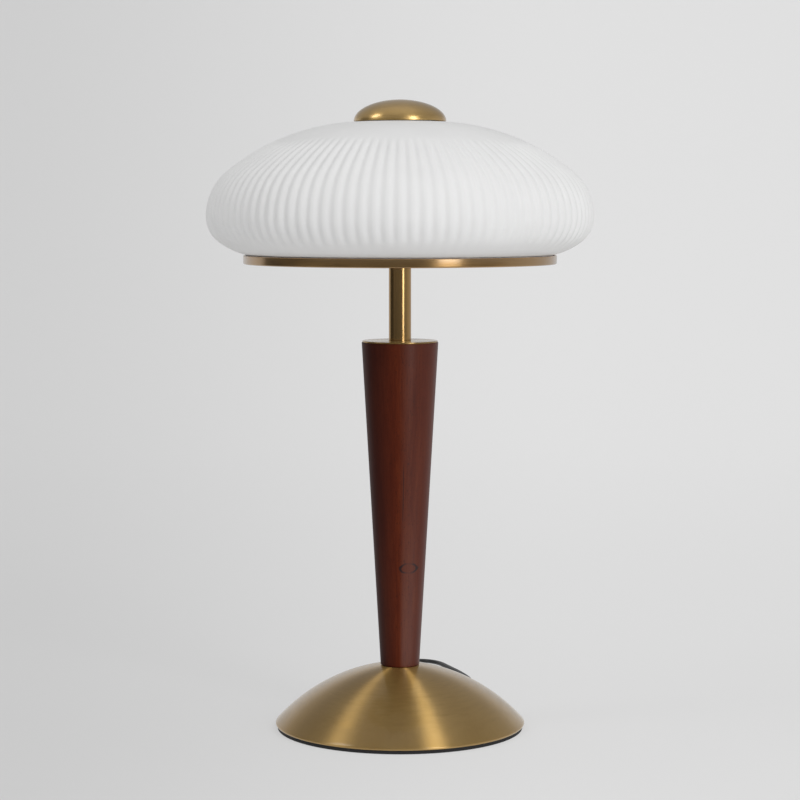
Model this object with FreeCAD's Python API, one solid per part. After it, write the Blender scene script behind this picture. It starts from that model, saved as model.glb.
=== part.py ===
import FreeCAD, Part
import math
import os

from FreeCAD import Vector

os.makedirs("parts", exist_ok=True)

# Mushroom table lamp. Millimetres, +Z up, origin at the centre of the underside.
# The camera side is -Y, and the cord leaves at the back, on the +Y side.

# General clearances
running_gap = 0.05      # a thread or spigot in its hole, on the radius
free_gap = 0.3          # between pieces that move apart or only lie beside each other
hole_gap = 0.3          # a plain hole around the threaded pipe, on the radius

# Foot pad, bottom cover and spun dome of the base
pad_radius = 96.3
pad_thickness = 2.8
cover_thickness = 1.5
base_radius = 97.85     # at the rolled rim
base_height = 46.5      # from the rim's underside to the seat of the column
base_arc_radius = 143.0
base_seat_radius = 15.7
base_wall = 1.2
rim_bead_radius = 1.25

# Cast ring that weighs the base down, and its screws
weight_outer_radius = 77.0
weight_inner_radius = 27.0
weight_thickness = 12.0
weight_slot_width = 9.0
weight_screw_circle = 52.0
weight_screw_count = 3
screw_shank_radius = 2.0
screw_head_radius = 3.8
screw_head_height = 1.8
screw_bite = 8.0

# Threaded pipe through the whole stem, with its nuts and washers
pipe_radius = 5.0
pipe_bore_radius = 3.8
pipe_tail = 7.0         # free thread below the base nut
nut_across_flats = 14.0
nut_height = 5.0
washer_radius = 14.0
washer_thickness = 1.5
lock_washer_radius = 9.0
lock_washer_thickness = 0.8
lock_tooth_count = 8

# Turned wooden column and its brass cap
column_length = 254.0
column_foot_radius = 15.2
column_top_radius = 29.9
column_bore_radius = 5.6
column_chamfer = 0.8
cap_radius = 29.4
cap_thickness = 1.2
cap_spigot_height = 3.0

# Polished stem tube
tube_radius = 8.7
tube_wall = 1.0
tube_length = 59.5

# Ring and three-armed spider that carry the shade
ring_radius = 121.5
ring_height = 6.8
ring_wall = 1.8
ring_ledge_thickness = 1.8
ring_ledge_inner_radius = 112.0
ring_edge_round = 1.2
hub_radius = 14.0
arm_width = 12.0
arm_count = 3
arm_first_angle = 90.0
gasket_thickness = 0.5

# Glass shade, by the arcs of its outside from the widest point up and down
shade_radius = 150.0
shade_widest_above_lip = 34.2
shoulder_arc_radius = 45.0
shoulder_arc_angle = 51.0
crown_arc_radius = 170.0
belly_arc_radius = 25.0
belly_arc_angle = 55.0
underside_arc_radius = 60.0
shade_wall = 4.0
lip_radius = 118.6
shade_hole_radius = 6.2
flute_count = 100
flute_depth = 1.0
flute_foot = 4.05       # height above the straight lip where the flutes begin
flute_head = 94.0       # radius on the crown where they end
flute_fade = 16.0       # length over which they deepen

# Two-light cluster above the spider
light_height = 30.0     # from the spider's top to the bulbs' axis
cluster_neck_radius = 9.0
cluster_radius = 17.0
cluster_depth = 24.0
cluster_wall = 2.5
cluster_boss_radius = 9.0
cluster_boss_height = 5.0
pipe_into_cluster = 3.0

# Lampholders with their screw shells, size E14
nipple_length = 12.0
nipple_bore_radius = 3.4
holder_length = 38.0
holder_radius = 13.0
holder_waist_radius = 11.8
holder_mouth_radius = 10.2
holder_back_wall = 9.0
shell_length = 19.0
shell_wall = 0.5
contact_thickness = 1.2

# Bulbs
cap_thread_radius = 6.95
bulb_cap_length = 17.0
bulb_contact_length = 2.7
bulb_contact_radius = 2.4
bulb_base_length = 22.0
bulb_globe_radius = 22.5
bulb_globe_wall = 1.0

# Finial, which screws down on the top rod and clamps the glass
finial_radius = 35.8
finial_dome_height = 16.7
finial_wall = 1.2
finial_nut_radius = 9.0
finial_plate_radius = 33.6
finial_plate_thickness = 2.0
finial_nut_height = 11.0
finial_gasket_radius = 24.0
finial_gasket_thickness = 1.6
rod_engagement = 8.0

# Mains cord, flat two-core
cord_width = 5.0
cord_height = 3.0
lead_radius = 2.3       # the same lead inside the stem, as a plain round
exit_angle = 65.0       # of the cord's way out, from +X towards +Y
exit_height = 9.2       # of its axis above the table
gland_neck_radius = 3.8
gland_flange_radius = 5.4
gland_tip_radius = 120.0
gland_tip_size = 3.0
gland_collar_radius = 4.8
gland_collar_place = 81.0
gland_collar_length = 2.5
cord_floor = cord_height / 2
cord_in_switch = 4.0    # height of the cord's axis where it enters the switch

# Inline rocker switch
switch_length = 56.0
switch_width = 20.0
switch_height = 14.0
switch_centre = Vector(-6.0, 111.5, 0)
switch_wall = 1.6
switch_corner = 4.0
rocker_length = 13.6
rocker_width = 9.6
rocker_end_gap = 0.9
rocker_side_gap = 0.4
rocker_tilt = 8.0
rocker_pin_radius = 1.0
rocker_cheek = 1.5
switch_screw_radius = 1.2
switch_screw_head = 2.1

# Two-blade plug
plug_length = 24.0
plug_width = 23.0
plug_height = 14.0
plug_tail_length = 12.0
plug_tail_place = Vector(-14.0, 135.5, plug_height / 2)
blade_length = 17.0
blade_width = 6.35
blade_thickness = 1.5
blade_spacing = 12.7

# Coil of the spare cord and its tie
coil_centre = Vector(0, 187.0, 0)
coil_inner_turn = 20.0
coil_outer_turn = 35.0
tie_thickness = 0.6
tie_width = 7.0


def outline(*steps):
    """Closed wire in the XZ plane. A step is a point, or (mid, end) for an arc."""
    edges = []
    first = Vector(steps[0][0], 0, steps[0][1])
    here = first
    for step in steps[1:] + (steps[0],):
        if isinstance(step[0], tuple):
            mid = Vector(step[0][0], 0, step[0][1])
            end = Vector(step[1][0], 0, step[1][1])
            edges.append(Part.Arc(here, mid, end).toShape())
        else:
            end = Vector(step[0], 0, step[1])
            if (end - here).Length < 1e-6:
                continue
            edges.append(Part.LineSegment(here, end).toShape())
        here = end
    return Part.Wire(edges)


def turned(*steps):
    """Solid of revolution about Z of an outline of (radius, height) points."""
    face = Part.Face(outline(*steps))
    return face.revolve(Vector(0, 0, 0), Vector(0, 0, 1), 360)


def ring(inner, outer, low, high):
    return turned((inner, low), (outer, low), (outer, high), (inner, high))


def on_circle(centre, radius, angle):
    """Point of a circle in a section, as (radius, height); the angle is in degrees."""
    a = math.radians(angle)
    return (centre[0] + radius * math.cos(a), centre[1] + radius * math.sin(a))


def hex_nut(low, bore):
    corner = nut_across_flats / math.sqrt(3)
    points = [Vector(*on_circle((0, 0), corner, 60 * k), low) for k in range(7)]
    body = Part.Face(Part.makePolygon(points)).extrude(Vector(0, 0, nut_height))
    return body.cut(Part.makeCylinder(bore, nut_height, Vector(0, 0, low)))


def lay_along_x(shape, height, side):
    """A shape turned about Z, laid with its Z axis along X on one side of the stem."""
    laid = shape.copy()
    laid.rotate(Vector(0, 0, 0), Vector(0, 1, 0), 90 * side)
    laid.translate(Vector(0, 0, height))
    return laid


def rounded_box(low, high, corner, edge_round):
    """Box with round upright corners and small rounds on its top and bottom edges."""
    size = high - low
    box = Part.makeBox(size.x, size.y, size.z, low)
    upright = [e for e in box.Edges if abs(e.tangentAt(e.FirstParameter).z) > 0.9]
    box = box.makeFillet(corner, upright)
    if edge_round > 0:
        rims = [e for e in box.Edges if e.BoundBox.ZLength < 1e-6]
        box = box.makeFillet(edge_round, rims)
    return box


def route_wire(name, points):
    """Straight runs joined by tangent arcs, as large as the runs allow."""
    edges = []
    here = points[0]
    smallest = None
    for before, corner, after in zip(points, points[1:], points[2:]):
        way_in = (corner - before).normalize()
        way_out = (after - corner).normalize()
        half_turn = way_in.getAngle(way_out) / 2
        reach = 0.45 * min((corner - before).Length, (after - corner).Length)
        radius = reach / math.tan(half_turn)
        start = corner - way_in * reach
        end = corner + way_out * reach
        inward = (way_out - way_in).normalize()
        middle = corner + inward * radius * (1 / math.cos(half_turn) - 1)
        edges.append(Part.LineSegment(here, start).toShape())
        edges.append(Part.Arc(start, middle, end).toShape())
        here = end
        if smallest is None or radius < smallest:
            smallest = radius
    edges.append(Part.LineSegment(here, points[-1]).toShape())
    print(name, "smallest radius %.1f" % smallest)
    return Part.Wire(edges)


def flat_section(place, direction):
    """Stadium section of the flat cord, upright across the given direction."""
    side = Vector(0, 0, 1).cross(direction).normalize()
    up = direction.cross(side).normalize()
    half_flat = (cord_width - cord_height) / 2
    r = cord_height / 2
    a = place + side * half_flat + up * r
    b = place - side * half_flat + up * r
    c = place - side * half_flat - up * r
    d = place + side * half_flat - up * r
    left = place - side * (half_flat + r)
    right = place + side * (half_flat + r)
    return Part.Wire([
        Part.LineSegment(a, b).toShape(),
        Part.Arc(b, left, c).toShape(),
        Part.LineSegment(c, d).toShape(),
        Part.Arc(d, right, a).toShape(),
    ])


def cord_tube(name, points):
    path = route_wire(name, points)
    section = flat_section(points[0], (points[1] - points[0]).normalize())
    maker = Part.BRepOffsetAPI.MakePipeShell(path)
    maker.setBiNormalMode(Vector(0, 0, 1))
    maker.add(section)
    maker.build()
    maker.makeSolid()
    tube = maker.shape()
    expected = Part.Face(section).Area * path.Length
    print(name, "length %.1f" % path.Length, "volume ratio %.4f" % (tube.Volume / expected))
    return tube


def round_tube(name, points, radius):
    path = route_wire(name, points)
    direction = (points[1] - points[0]).normalize()
    circle = Part.Wire(Part.Circle(points[0], direction, radius).toShape())
    return path.makePipeShell([circle], True, False)


parts = {}

# Heights of the stack, from the table up
pad_top = pad_thickness
base_top = pad_top + base_height
column_top = base_top + column_length
tube_bottom = column_top + cap_thickness
tube_top = tube_bottom + tube_length
ledge_top = tube_top + ring_ledge_thickness
gasket_top = ledge_top + gasket_thickness
lip_bottom = gasket_top + free_gap
light_axis = ledge_top + light_height

# Dome of the base: one arc from the seat to the rolled rim
bead_centre = (base_radius - rim_bead_radius, pad_top + rim_bead_radius)
seat_edge = (base_seat_radius, base_top)
chord = (bead_centre[0] - seat_edge[0], bead_centre[1] - seat_edge[1])
chord_length = math.hypot(*chord)
inner_reach = base_arc_radius - rim_bead_radius
along = (base_arc_radius ** 2 - inner_reach ** 2 + chord_length ** 2) / (2 * chord_length)
aside = math.sqrt(base_arc_radius ** 2 - along ** 2)
unit = (chord[0] / chord_length, chord[1] / chord_length)
base_arc_centre = (
    seat_edge[0] + unit[0] * along + unit[1] * aside,
    seat_edge[1] + unit[1] * along - unit[0] * aside,
)


def base_arc_angle(point):
    return math.degrees(math.atan2(point[1] - base_arc_centre[1], point[0] - base_arc_centre[0]))


def on_base_arc(offset, angle):
    return on_circle(base_arc_centre, base_arc_radius - offset, angle)


def base_radius_at(height, offset):
    """Radius of the dome's outside, or of its inside with the wall as offset."""
    rise = height - base_arc_centre[1]
    return base_arc_centre[0] + math.sqrt((base_arc_radius - offset) ** 2 - rise ** 2)


top_angle = base_arc_angle(seat_edge)
rim_angle = base_arc_angle(bead_centre)
rim_inner_radius = base_radius - 2 * rim_bead_radius
dome_underside = base_top - base_wall
inner_top_radius = base_radius_at(dome_underside, base_wall)
inner_top_angle = base_arc_angle((inner_top_radius, dome_underside))
inner_rim_angle = math.degrees(math.acos(
    (rim_inner_radius - base_arc_centre[0]) / (base_arc_radius - base_wall)))
rim_meet = on_base_arc(0, rim_angle)
bead_mid_angle = (rim_angle - 90) / 2

parts["base_shell"] = turned(
    (pipe_radius + hole_gap, base_top),
    seat_edge,
    (on_base_arc(0, (top_angle + rim_angle) / 2), rim_meet),
    (on_circle(bead_centre, rim_bead_radius, bead_mid_angle), (bead_centre[0], pad_top)),
    (rim_inner_radius, pad_top),
    on_base_arc(base_wall, inner_rim_angle),
    (on_base_arc(base_wall, (inner_rim_angle + inner_top_angle) / 2),
     (inner_top_radius, dome_underside)),
    (pipe_radius + hole_gap, dome_underside),
)
exit_direction = Vector(math.cos(math.radians(exit_angle)), math.sin(math.radians(exit_angle)), 0)


def along_exit(distance):
    """Point on the axis of the cord's way out, at a distance from the stem's axis."""
    return exit_direction * distance + Vector(0, 0, exit_height)


exit_hole = Part.makeCylinder(
    gland_neck_radius + running_gap, base_radius - weight_outer_radius,
    along_exit(weight_outer_radius), exit_direction)
parts["base_shell"] = parts["base_shell"].cut(exit_hole)

# Pad, bottom cover, weight and the screws that hold them together
screw_places = [
    Vector(*on_circle((0, 0), weight_screw_circle, 360 * k / weight_screw_count), 0)
    for k in range(weight_screw_count)
]
cover_top = pad_top + cover_thickness
weight_top = cover_top + weight_thickness
head_low = pad_top - screw_head_height
pad = ring(0, pad_radius, 0, pad_top)
cover = ring(0, rim_inner_radius - free_gap, pad_top, cover_top)
weight = ring(weight_inner_radius, weight_outer_radius, cover_top, weight_top)
# The casting keeps clear of the dome that comes down round it
room_wall = base_wall + free_gap
room_low = (base_radius_at(cover_top, room_wall), cover_top)
room_high = (base_radius_at(weight_top, room_wall), weight_top)
room_angle = (base_arc_angle(room_low) + base_arc_angle(room_high)) / 2
room = turned((0, cover_top), room_low, (on_base_arc(room_wall, room_angle), room_high),
              (0, weight_top))
weight = weight.common(room)
slot_length = weight_outer_radius + free_gap
slot = Part.makeBox(slot_length, weight_slot_width, exit_height + lead_radius + 2 - cover_top,
                    Vector(0, -weight_slot_width / 2, cover_top))
slot.rotate(Vector(0, 0, 0), Vector(0, 0, 1), exit_angle)
weight = weight.cut(slot)
screws = []
for place in screw_places:
    pad = pad.cut(Part.makeCylinder(screw_head_radius + free_gap, pad_top, place))
    clear = Part.makeCylinder(screw_shank_radius + running_gap, cover_thickness + screw_bite,
                              place + Vector(0, 0, pad_top))
    cover = cover.cut(clear)
    weight = weight.cut(clear)
    head = Part.makeCylinder(screw_head_radius, screw_head_height, place + Vector(0, 0, head_low))
    drive = Part.makeBox(screw_head_radius * 1.2, 0.8, 0.8,
                         place + Vector(-screw_head_radius * 0.6, -0.4, head_low))
    shank = Part.makeCylinder(screw_shank_radius, cover_thickness + screw_bite - free_gap,
                              place + Vector(0, 0, pad_top))
    screws.append(head.fuse(shank).cut(drive))
parts["foot_pad"] = pad
parts["bottom_cover"] = cover
parts["base_weight"] = weight
parts["weight_screws"] = Part.makeCompound(screws)

# Washer, lock washer and nut under the dome, and the pipe that ties the stem together
washer_bottom = dome_underside - washer_thickness
lock_bottom = washer_bottom - lock_washer_thickness
base_nut_bottom = lock_bottom - nut_height
pipe_bottom = base_nut_bottom - pipe_tail
parts["base_washer"] = ring(pipe_radius + hole_gap, washer_radius, washer_bottom, dome_underside)
lock_washer = ring(pipe_radius + hole_gap, lock_washer_radius, lock_bottom, washer_bottom)
for k in range(lock_tooth_count):
    notch = Part.makeCylinder(1.0, lock_washer_thickness,
                              Vector(*on_circle((0, 0), lock_washer_radius, 360 * k / lock_tooth_count),
                                     lock_bottom))
    lock_washer = lock_washer.cut(notch)
parts["base_lock_washer"] = lock_washer
parts["base_nut"] = hex_nut(base_nut_bottom, pipe_radius + running_gap)
cluster_bottom = light_axis - cluster_depth / 2
pipe_top = cluster_bottom + cluster_wall + pipe_into_cluster
parts["threaded_pipe"] = ring(pipe_bore_radius, pipe_radius, pipe_bottom, pipe_top)

# Column, cap and stem tube
parts["wood_column"] = turned(
    (column_bore_radius, base_top),
    (column_foot_radius - column_chamfer, base_top),
    (column_foot_radius, base_top + column_chamfer),
    (column_top_radius, column_top - column_chamfer / 2),
    (column_top_radius - column_chamfer / 2, column_top),
    (column_bore_radius, column_top),
)
cap_spigot_radius = tube_radius - tube_wall - running_gap
parts["column_cap"] = turned(
    (pipe_radius + hole_gap, column_top),
    (cap_radius, column_top),
    (cap_radius, tube_bottom),
    (cap_spigot_radius, tube_bottom),
    (cap_spigot_radius, tube_bottom + cap_spigot_height),
    (pipe_radius + hole_gap, tube_bottom + cap_spigot_height),
)
parts["stem_tube"] = ring(tube_radius - tube_wall, tube_radius, tube_bottom, tube_top)

# Ring with its ledge, and the spider whose arms end on the ledge's inner edge
ring_top = tube_top + ring_height
ring_inner_radius = ring_radius - ring_wall
edge_centre = (ring_radius - ring_edge_round, tube_top + ring_edge_round)
parts["shade_ring"] = turned(
    (ring_ledge_inner_radius, tube_top),
    (ring_radius - ring_edge_round, tube_top),
    (on_circle(edge_centre, ring_edge_round, -45), (ring_radius, tube_top + ring_edge_round)),
    (ring_radius, ring_top),
    (ring_inner_radius, ring_top),
    (ring_inner_radius, ledge_top),
    (ring_ledge_inner_radius, ledge_top),
)
spider = ring(pipe_radius + hole_gap, hub_radius, tube_top, ledge_top)
arm_reach = Part.makeCylinder(ring_ledge_inner_radius, ring_ledge_thickness, Vector(0, 0, tube_top))
arm_reach = arm_reach.cut(
    Part.makeCylinder(pipe_radius + hole_gap, ring_ledge_thickness, Vector(0, 0, tube_top)))
for k in range(arm_count):
    arm = Part.makeBox(ring_ledge_inner_radius, arm_width, ring_ledge_thickness,
                       Vector(0, -arm_width / 2, tube_top))
    arm.rotate(Vector(0, 0, 0), Vector(0, 0, 1), arm_first_angle + 360 * k / arm_count)
    spider = spider.fuse(arm.common(arm_reach))
parts["shade_spider"] = spider.removeSplitter()
parts["ring_gasket"] = ring(ring_ledge_inner_radius + 1, ring_inner_radius - free_gap,
                            ledge_top, gasket_top)
parts["spider_washer"] = ring(pipe_radius + hole_gap, washer_radius - 1,
                              ledge_top, ledge_top + washer_thickness)
spider_nut_bottom = ledge_top + washer_thickness
parts["spider_nut"] = hex_nut(spider_nut_bottom, pipe_radius + running_gap)

# Glass shade: the same arc centres serve the outside and, with the wall as offset, the inside
widest = lip_bottom + shade_widest_above_lip
shoulder_centre = (shade_radius - shoulder_arc_radius, widest)
shoulder_end = on_circle(shoulder_centre, shoulder_arc_radius, shoulder_arc_angle)
crown_centre = on_circle(shoulder_end, crown_arc_radius, shoulder_arc_angle + 180)
belly_centre = (shade_radius - belly_arc_radius, widest)
belly_end = on_circle(belly_centre, belly_arc_radius, -belly_arc_angle)
underside_centre = on_circle(belly_end, underside_arc_radius, 180 - belly_arc_angle)
crown_top = crown_centre[1] + crown_arc_radius


def underside_angle_at(radius, offset):
    run = (radius - underside_centre[0]) / (underside_arc_radius - offset)
    return -math.degrees(math.acos(run))


side_foot = on_circle(underside_centre, underside_arc_radius, underside_angle_at(lip_radius, 0))[1]


def shade_side(offset, foot_radius):
    """Arcs of the shade from its foot up to the flat of the crown."""
    foot_angle = underside_angle_at(foot_radius, offset)
    under = underside_arc_radius - offset
    belly = belly_arc_radius - offset
    shoulder = shoulder_arc_radius - offset
    crown = crown_arc_radius - offset
    return [
        on_circle(underside_centre, under, foot_angle),
        (on_circle(underside_centre, under, (foot_angle - belly_arc_angle) / 2),
         on_circle(underside_centre, under, -belly_arc_angle)),
        (on_circle(belly_centre, belly, -belly_arc_angle / 2),
         (belly_centre[0] + belly, widest)),
        (on_circle(shoulder_centre, shoulder, shoulder_arc_angle / 2),
         on_circle(shoulder_centre, shoulder, shoulder_arc_angle)),
        (on_circle(crown_centre, crown, (shoulder_arc_angle + 90) / 2),
         (crown_centre[0], crown_centre[1] + crown)),
    ]


def stations():
    """Centre, radius and angle of arc for points up the outside of the shade."""
    arcs = (
        (underside_centre, underside_arc_radius, underside_angle_at(lip_radius, 0), -belly_arc_angle, 3),
        (belly_centre, belly_arc_radius, -belly_arc_angle, 0, 5),
        (shoulder_centre, shoulder_arc_radius, 0, shoulder_arc_angle, 5),
        (crown_centre, crown_arc_radius, shoulder_arc_angle, 90, 9),
    )
    places = []
    for centre, radius, start, end, steps in arcs:
        for k in range(steps):
            places.append((centre, radius, start + (end - start) * k / steps))
    places.append((crown_centre, crown_arc_radius, 90))
    return places


def flute_depth_at(radius, height):
    """Depth of the flutes at a point, with a soft start and end."""
    run = height - side_foot - flute_foot if height < widest else radius - flute_head
    share = min(max(run / flute_fade, 0), 1)
    return flute_depth * share * share * (3 - 2 * share)


def flute_line(turn, share):
    """Edge from the lip to the crown, on a crest (share 0) or in a flute (share 1)."""
    points = []
    for centre, radius, angle in stations():
        edge = on_circle(centre, radius, angle)
        inset = flute_depth_at(*edge) * share
        r, z = on_circle(centre, radius - inset, angle)
        points.append(Vector(r * math.cos(turn), r * math.sin(turn), z))
    curve = Part.BSplineCurve()
    curve.interpolate(points)
    return curve.toShape()


flute_lines = [
    flute_line(math.pi * k / flute_count, k % 2) for k in range(2 * flute_count)
]
glass_faces = [
    Part.makeRuledSurface(a, b) for a, b in zip(flute_lines, flute_lines[1:] + flute_lines[:1])
]
for end in (0, 1):
    corners = [line.Vertexes[end].Point for line in flute_lines]
    glass_faces.append(Part.Face(Part.makePolygon(corners + corners[:1])))
foot_disc = glass_faces[-2]
glass_skin = Part.Shell(glass_faces)
glass_skin.sewShape()
glass_body = Part.Solid(glass_skin)
glass_lip = foot_disc.extrude(Vector(0, 0, lip_bottom - foot_disc.BoundBox.ZMin))
glass_outer = glass_body.fuse(glass_lip)
lip_inner_radius = lip_radius - shade_wall
inside = shade_side(shade_wall, lip_inner_radius + shade_wall)
inside_top = crown_top - shade_wall
bore = [(0, lip_bottom - 1), (lip_inner_radius, lip_bottom - 1), (lip_inner_radius, inside[0][1])]
glass_inner = turned(*bore, *inside, (0, inside_top))
glass_hole = Part.makeCylinder(shade_hole_radius, 2 * shade_wall, Vector(0, 0, inside_top - 1))
parts["glass_shade"] = glass_outer.cut(glass_inner).cut(glass_hole)

# Cluster body, its cover and the rod that reaches up to the finial
cluster_top = cluster_bottom + cluster_depth
neck_bottom = spider_nut_bottom + nut_height
cluster = turned(
    (pipe_radius + running_gap, neck_bottom),
    (cluster_neck_radius, neck_bottom),
    (cluster_neck_radius, cluster_bottom),
    (cluster_radius, cluster_bottom),
    (cluster_radius, cluster_top),
    (cluster_radius - cluster_wall, cluster_top),
    (cluster_radius - cluster_wall, cluster_bottom + cluster_wall),
    (pipe_radius + running_gap, cluster_bottom + cluster_wall),
)
port = Part.makeCylinder(pipe_radius + running_gap, 2 * cluster_radius + 2,
                         Vector(-cluster_radius - 1, 0, light_axis), Vector(1, 0, 0))
parts["cluster_body"] = cluster.cut(port)
cover_high = cluster_top + cluster_wall
parts["cluster_cover"] = turned(
    (pipe_radius + running_gap, cluster_top),
    (cluster_radius, cluster_top),
    (cluster_radius, cover_high),
    (cluster_boss_radius, cover_high),
    (cluster_boss_radius, cover_high + cluster_boss_height),
    (pipe_radius + running_gap, cover_high + cluster_boss_height),
)
rod_nut_bottom = cluster_top - nut_height
parts["rod_nut"] = hex_nut(rod_nut_bottom, pipe_radius + running_gap)

# Finial: half an ellipse spun over a plate with a threaded boss, on a soft washer
finial_gasket_bottom = crown_top + free_gap
finial_gasket_top = finial_gasket_bottom + finial_gasket_thickness
finial_plate_bottom = finial_gasket_top + running_gap
finial_rim = finial_gasket_bottom
rod_top = finial_plate_bottom + rod_engagement
parts["top_rod"] = ring(pipe_bore_radius, pipe_radius, rod_nut_bottom - 1, rod_top)
parts["finial_gasket"] = ring(pipe_radius + free_gap, finial_gasket_radius,
                              finial_gasket_bottom, finial_gasket_top)


def spun_cap(radius, height, low):
    """Solid cap whose side is a quarter of an ellipse."""
    ease = 4 * (math.sqrt(2) - 1) / 3
    curve = Part.BezierCurve()
    curve.setPoles([
        Vector(radius, 0, low),
        Vector(radius, 0, low + ease * height),
        Vector(ease * radius, 0, low + height),
        Vector(0, 0, low + height),
    ])
    axis = Part.LineSegment(Vector(0, 0, low + height), Vector(0, 0, low)).toShape()
    floor = Part.LineSegment(Vector(0, 0, low), Vector(radius, 0, low)).toShape()
    face = Part.Face(Part.Wire([curve.toShape(), axis, floor]))
    return face.revolve(Vector(0, 0, 0), Vector(0, 0, 1), 360)


finial_outer = spun_cap(finial_radius, finial_dome_height, finial_rim)
finial_inner = spun_cap(finial_radius - finial_wall, finial_dome_height - finial_wall, finial_rim)
parts["finial_dome"] = finial_outer.cut(finial_inner)
plate_top = finial_plate_bottom + finial_plate_thickness
nut_top = finial_plate_bottom + finial_nut_height
finial_nut = turned(
    (pipe_radius + running_gap, finial_plate_bottom),
    (finial_plate_radius, finial_plate_bottom),
    (finial_plate_radius, plate_top),
    (finial_nut_radius, plate_top),
    (finial_nut_radius, nut_top),
    (pipe_radius + running_gap, nut_top),
)
parts["finial_nut"] = finial_nut.common(finial_inner)

# Lampholders and bulbs, turned along Z and then laid to each side
holder_start = cluster_radius
holder_mouth = holder_start + holder_length
cavity_start = holder_start + holder_back_wall
contact_end = cavity_start + contact_thickness
bulb_start = contact_end + free_gap
cap_start = bulb_start + bulb_contact_length + running_gap
cap_end = cap_start + bulb_cap_length
shell_inner_radius = cap_thread_radius + 2 * running_gap
shell_outer_radius = shell_inner_radius + shell_wall
shell_start = cap_end - shell_length + 1
globe_centre = cap_end + bulb_base_length + math.sqrt(bulb_globe_radius ** 2 - 15.0 ** 2)
neck_radius = 15.0

holder = turned(
    (nipple_bore_radius, holder_start),
    (holder_radius, holder_start),
    (holder_radius, holder_start + holder_length / 3),
    (holder_waist_radius, holder_start + holder_length / 2),
    (holder_waist_radius, holder_mouth - 3),
    (holder_radius, holder_mouth - 3),
    (holder_radius, holder_mouth),
    (holder_mouth_radius, holder_mouth),
    (holder_mouth_radius, shell_start + shell_length),
    (shell_outer_radius, shell_start + shell_length),
    (shell_outer_radius, cavity_start),
    (nipple_bore_radius, cavity_start),
)
nipple_seat = Part.makeCylinder(pipe_radius + running_gap, nipple_length / 2, Vector(0, 0, holder_start))
holder = holder.cut(nipple_seat)
nipple = ring(nipple_bore_radius, pipe_radius, holder_start - nipple_length / 2,
              holder_start + nipple_length / 2)
shell = ring(shell_inner_radius, shell_outer_radius, shell_start, shell_start + shell_length)
contact = ring(0, nipple_bore_radius + 2, cavity_start, contact_end)
cap = ring(0, cap_thread_radius, cap_start, cap_end)
tip_end = bulb_start + bulb_contact_length
tip = turned((0, bulb_start), (1.2, bulb_start), (bulb_contact_radius, tip_end), (0, tip_end))
base_waist = (cap_thread_radius + neck_radius) / 2 - 1.5
bulb_base = turned(
    (0, cap_end),
    (cap_thread_radius - 0.2, cap_end),
    ((base_waist, cap_end + bulb_base_length / 2), (neck_radius, cap_end + bulb_base_length)),
    (0, cap_end + bulb_base_length),
)
neck_angle = math.degrees(math.acos(neck_radius / bulb_globe_radius))
globe_in = bulb_globe_radius - bulb_globe_wall
neck_in_angle = math.degrees(math.asin((globe_centre - cap_end - bulb_base_length) / globe_in))
globe_section = (0, globe_centre)
globe = turned(
    on_circle(globe_section, bulb_globe_radius, -neck_angle),
    (on_circle(globe_section, bulb_globe_radius, 20), (0, globe_centre + bulb_globe_radius)),
    (0, globe_centre + globe_in),
    (on_circle(globe_section, globe_in, 20), on_circle(globe_section, globe_in, -neck_in_angle)),
)
for side, name in ((-1, "left"), (1, "right")):
    parts["lampholder_" + name] = lay_along_x(holder, light_axis, side)
    parts["holder_shell_" + name] = lay_along_x(shell, light_axis, side)
    parts["holder_contact_" + name] = lay_along_x(contact, light_axis, side)
    parts["bulb_contact_" + name] = lay_along_x(tip, light_axis, side)
    parts["bulb_cap_" + name] = lay_along_x(cap, light_axis, side)
    parts["bulb_base_" + name] = lay_along_x(bulb_base, light_axis, side)
    parts["bulb_globe_" + name] = lay_along_x(globe, light_axis, side)
parts["holder_nipples"] = Part.makeCompound(
    [lay_along_x(nipple, light_axis, side) for side in (-1, 1)])

# Lead inside the base and the stem, and its two branches to the lampholders
lead_bend = 18.0
lead_end = pipe_top
parts["lead_in_stem"] = round_tube("lead in stem", [
    along_exit(gland_collar_place),
    exit_direction * lead_bend + Vector(0, 0, exit_height),
    Vector(0, 0, exit_height + lead_bend),
    Vector(0, 0, lead_end),
], lead_radius)
branch_offset = 1.7
branch_radius = 1.2
branch_turn = 3.0
branches = []
for side in (-1, 1):
    branches.append(round_tube("branch", [
        Vector(side * branch_offset, 0, lead_end),
        Vector(side * branch_offset, 0, light_axis - branch_turn),
        Vector(side * (branch_offset + branch_turn), 0, light_axis),
        Vector(side * cavity_start, 0, light_axis),
    ], branch_radius))
parts["holder_leads"] = Part.makeCompound(branches)

# Gland: a moulded strain relief whose flange is shaped to the dome
gland_flange_end = base_radius_at(exit_height - gland_flange_radius, 0) + 1
flange = Part.makeCylinder(gland_flange_radius, gland_flange_end - weight_outer_radius,
                           along_exit(weight_outer_radius), exit_direction)
dome_solid = turned(
    (0, pad_top), (base_radius, pad_top), (base_radius, bead_centre[1]), rim_meet,
    (on_base_arc(0, (top_angle + rim_angle) / 2), seat_edge), (0, base_top),
)
flange = flange.cut(dome_solid)
neck_length = gland_flange_end - gland_collar_place
neck = Part.makeCylinder(gland_neck_radius, neck_length, along_exit(gland_collar_place), exit_direction)
tail = Part.makeCone(gland_neck_radius, gland_tip_size, gland_tip_radius - gland_flange_end,
                     along_exit(gland_flange_end), exit_direction)
collar = Part.makeCylinder(gland_collar_radius, gland_collar_length,
                           along_exit(gland_collar_place), exit_direction)
parts["cord_gland"] = neck.fuse([flange, tail, collar]).removeSplitter()

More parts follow.
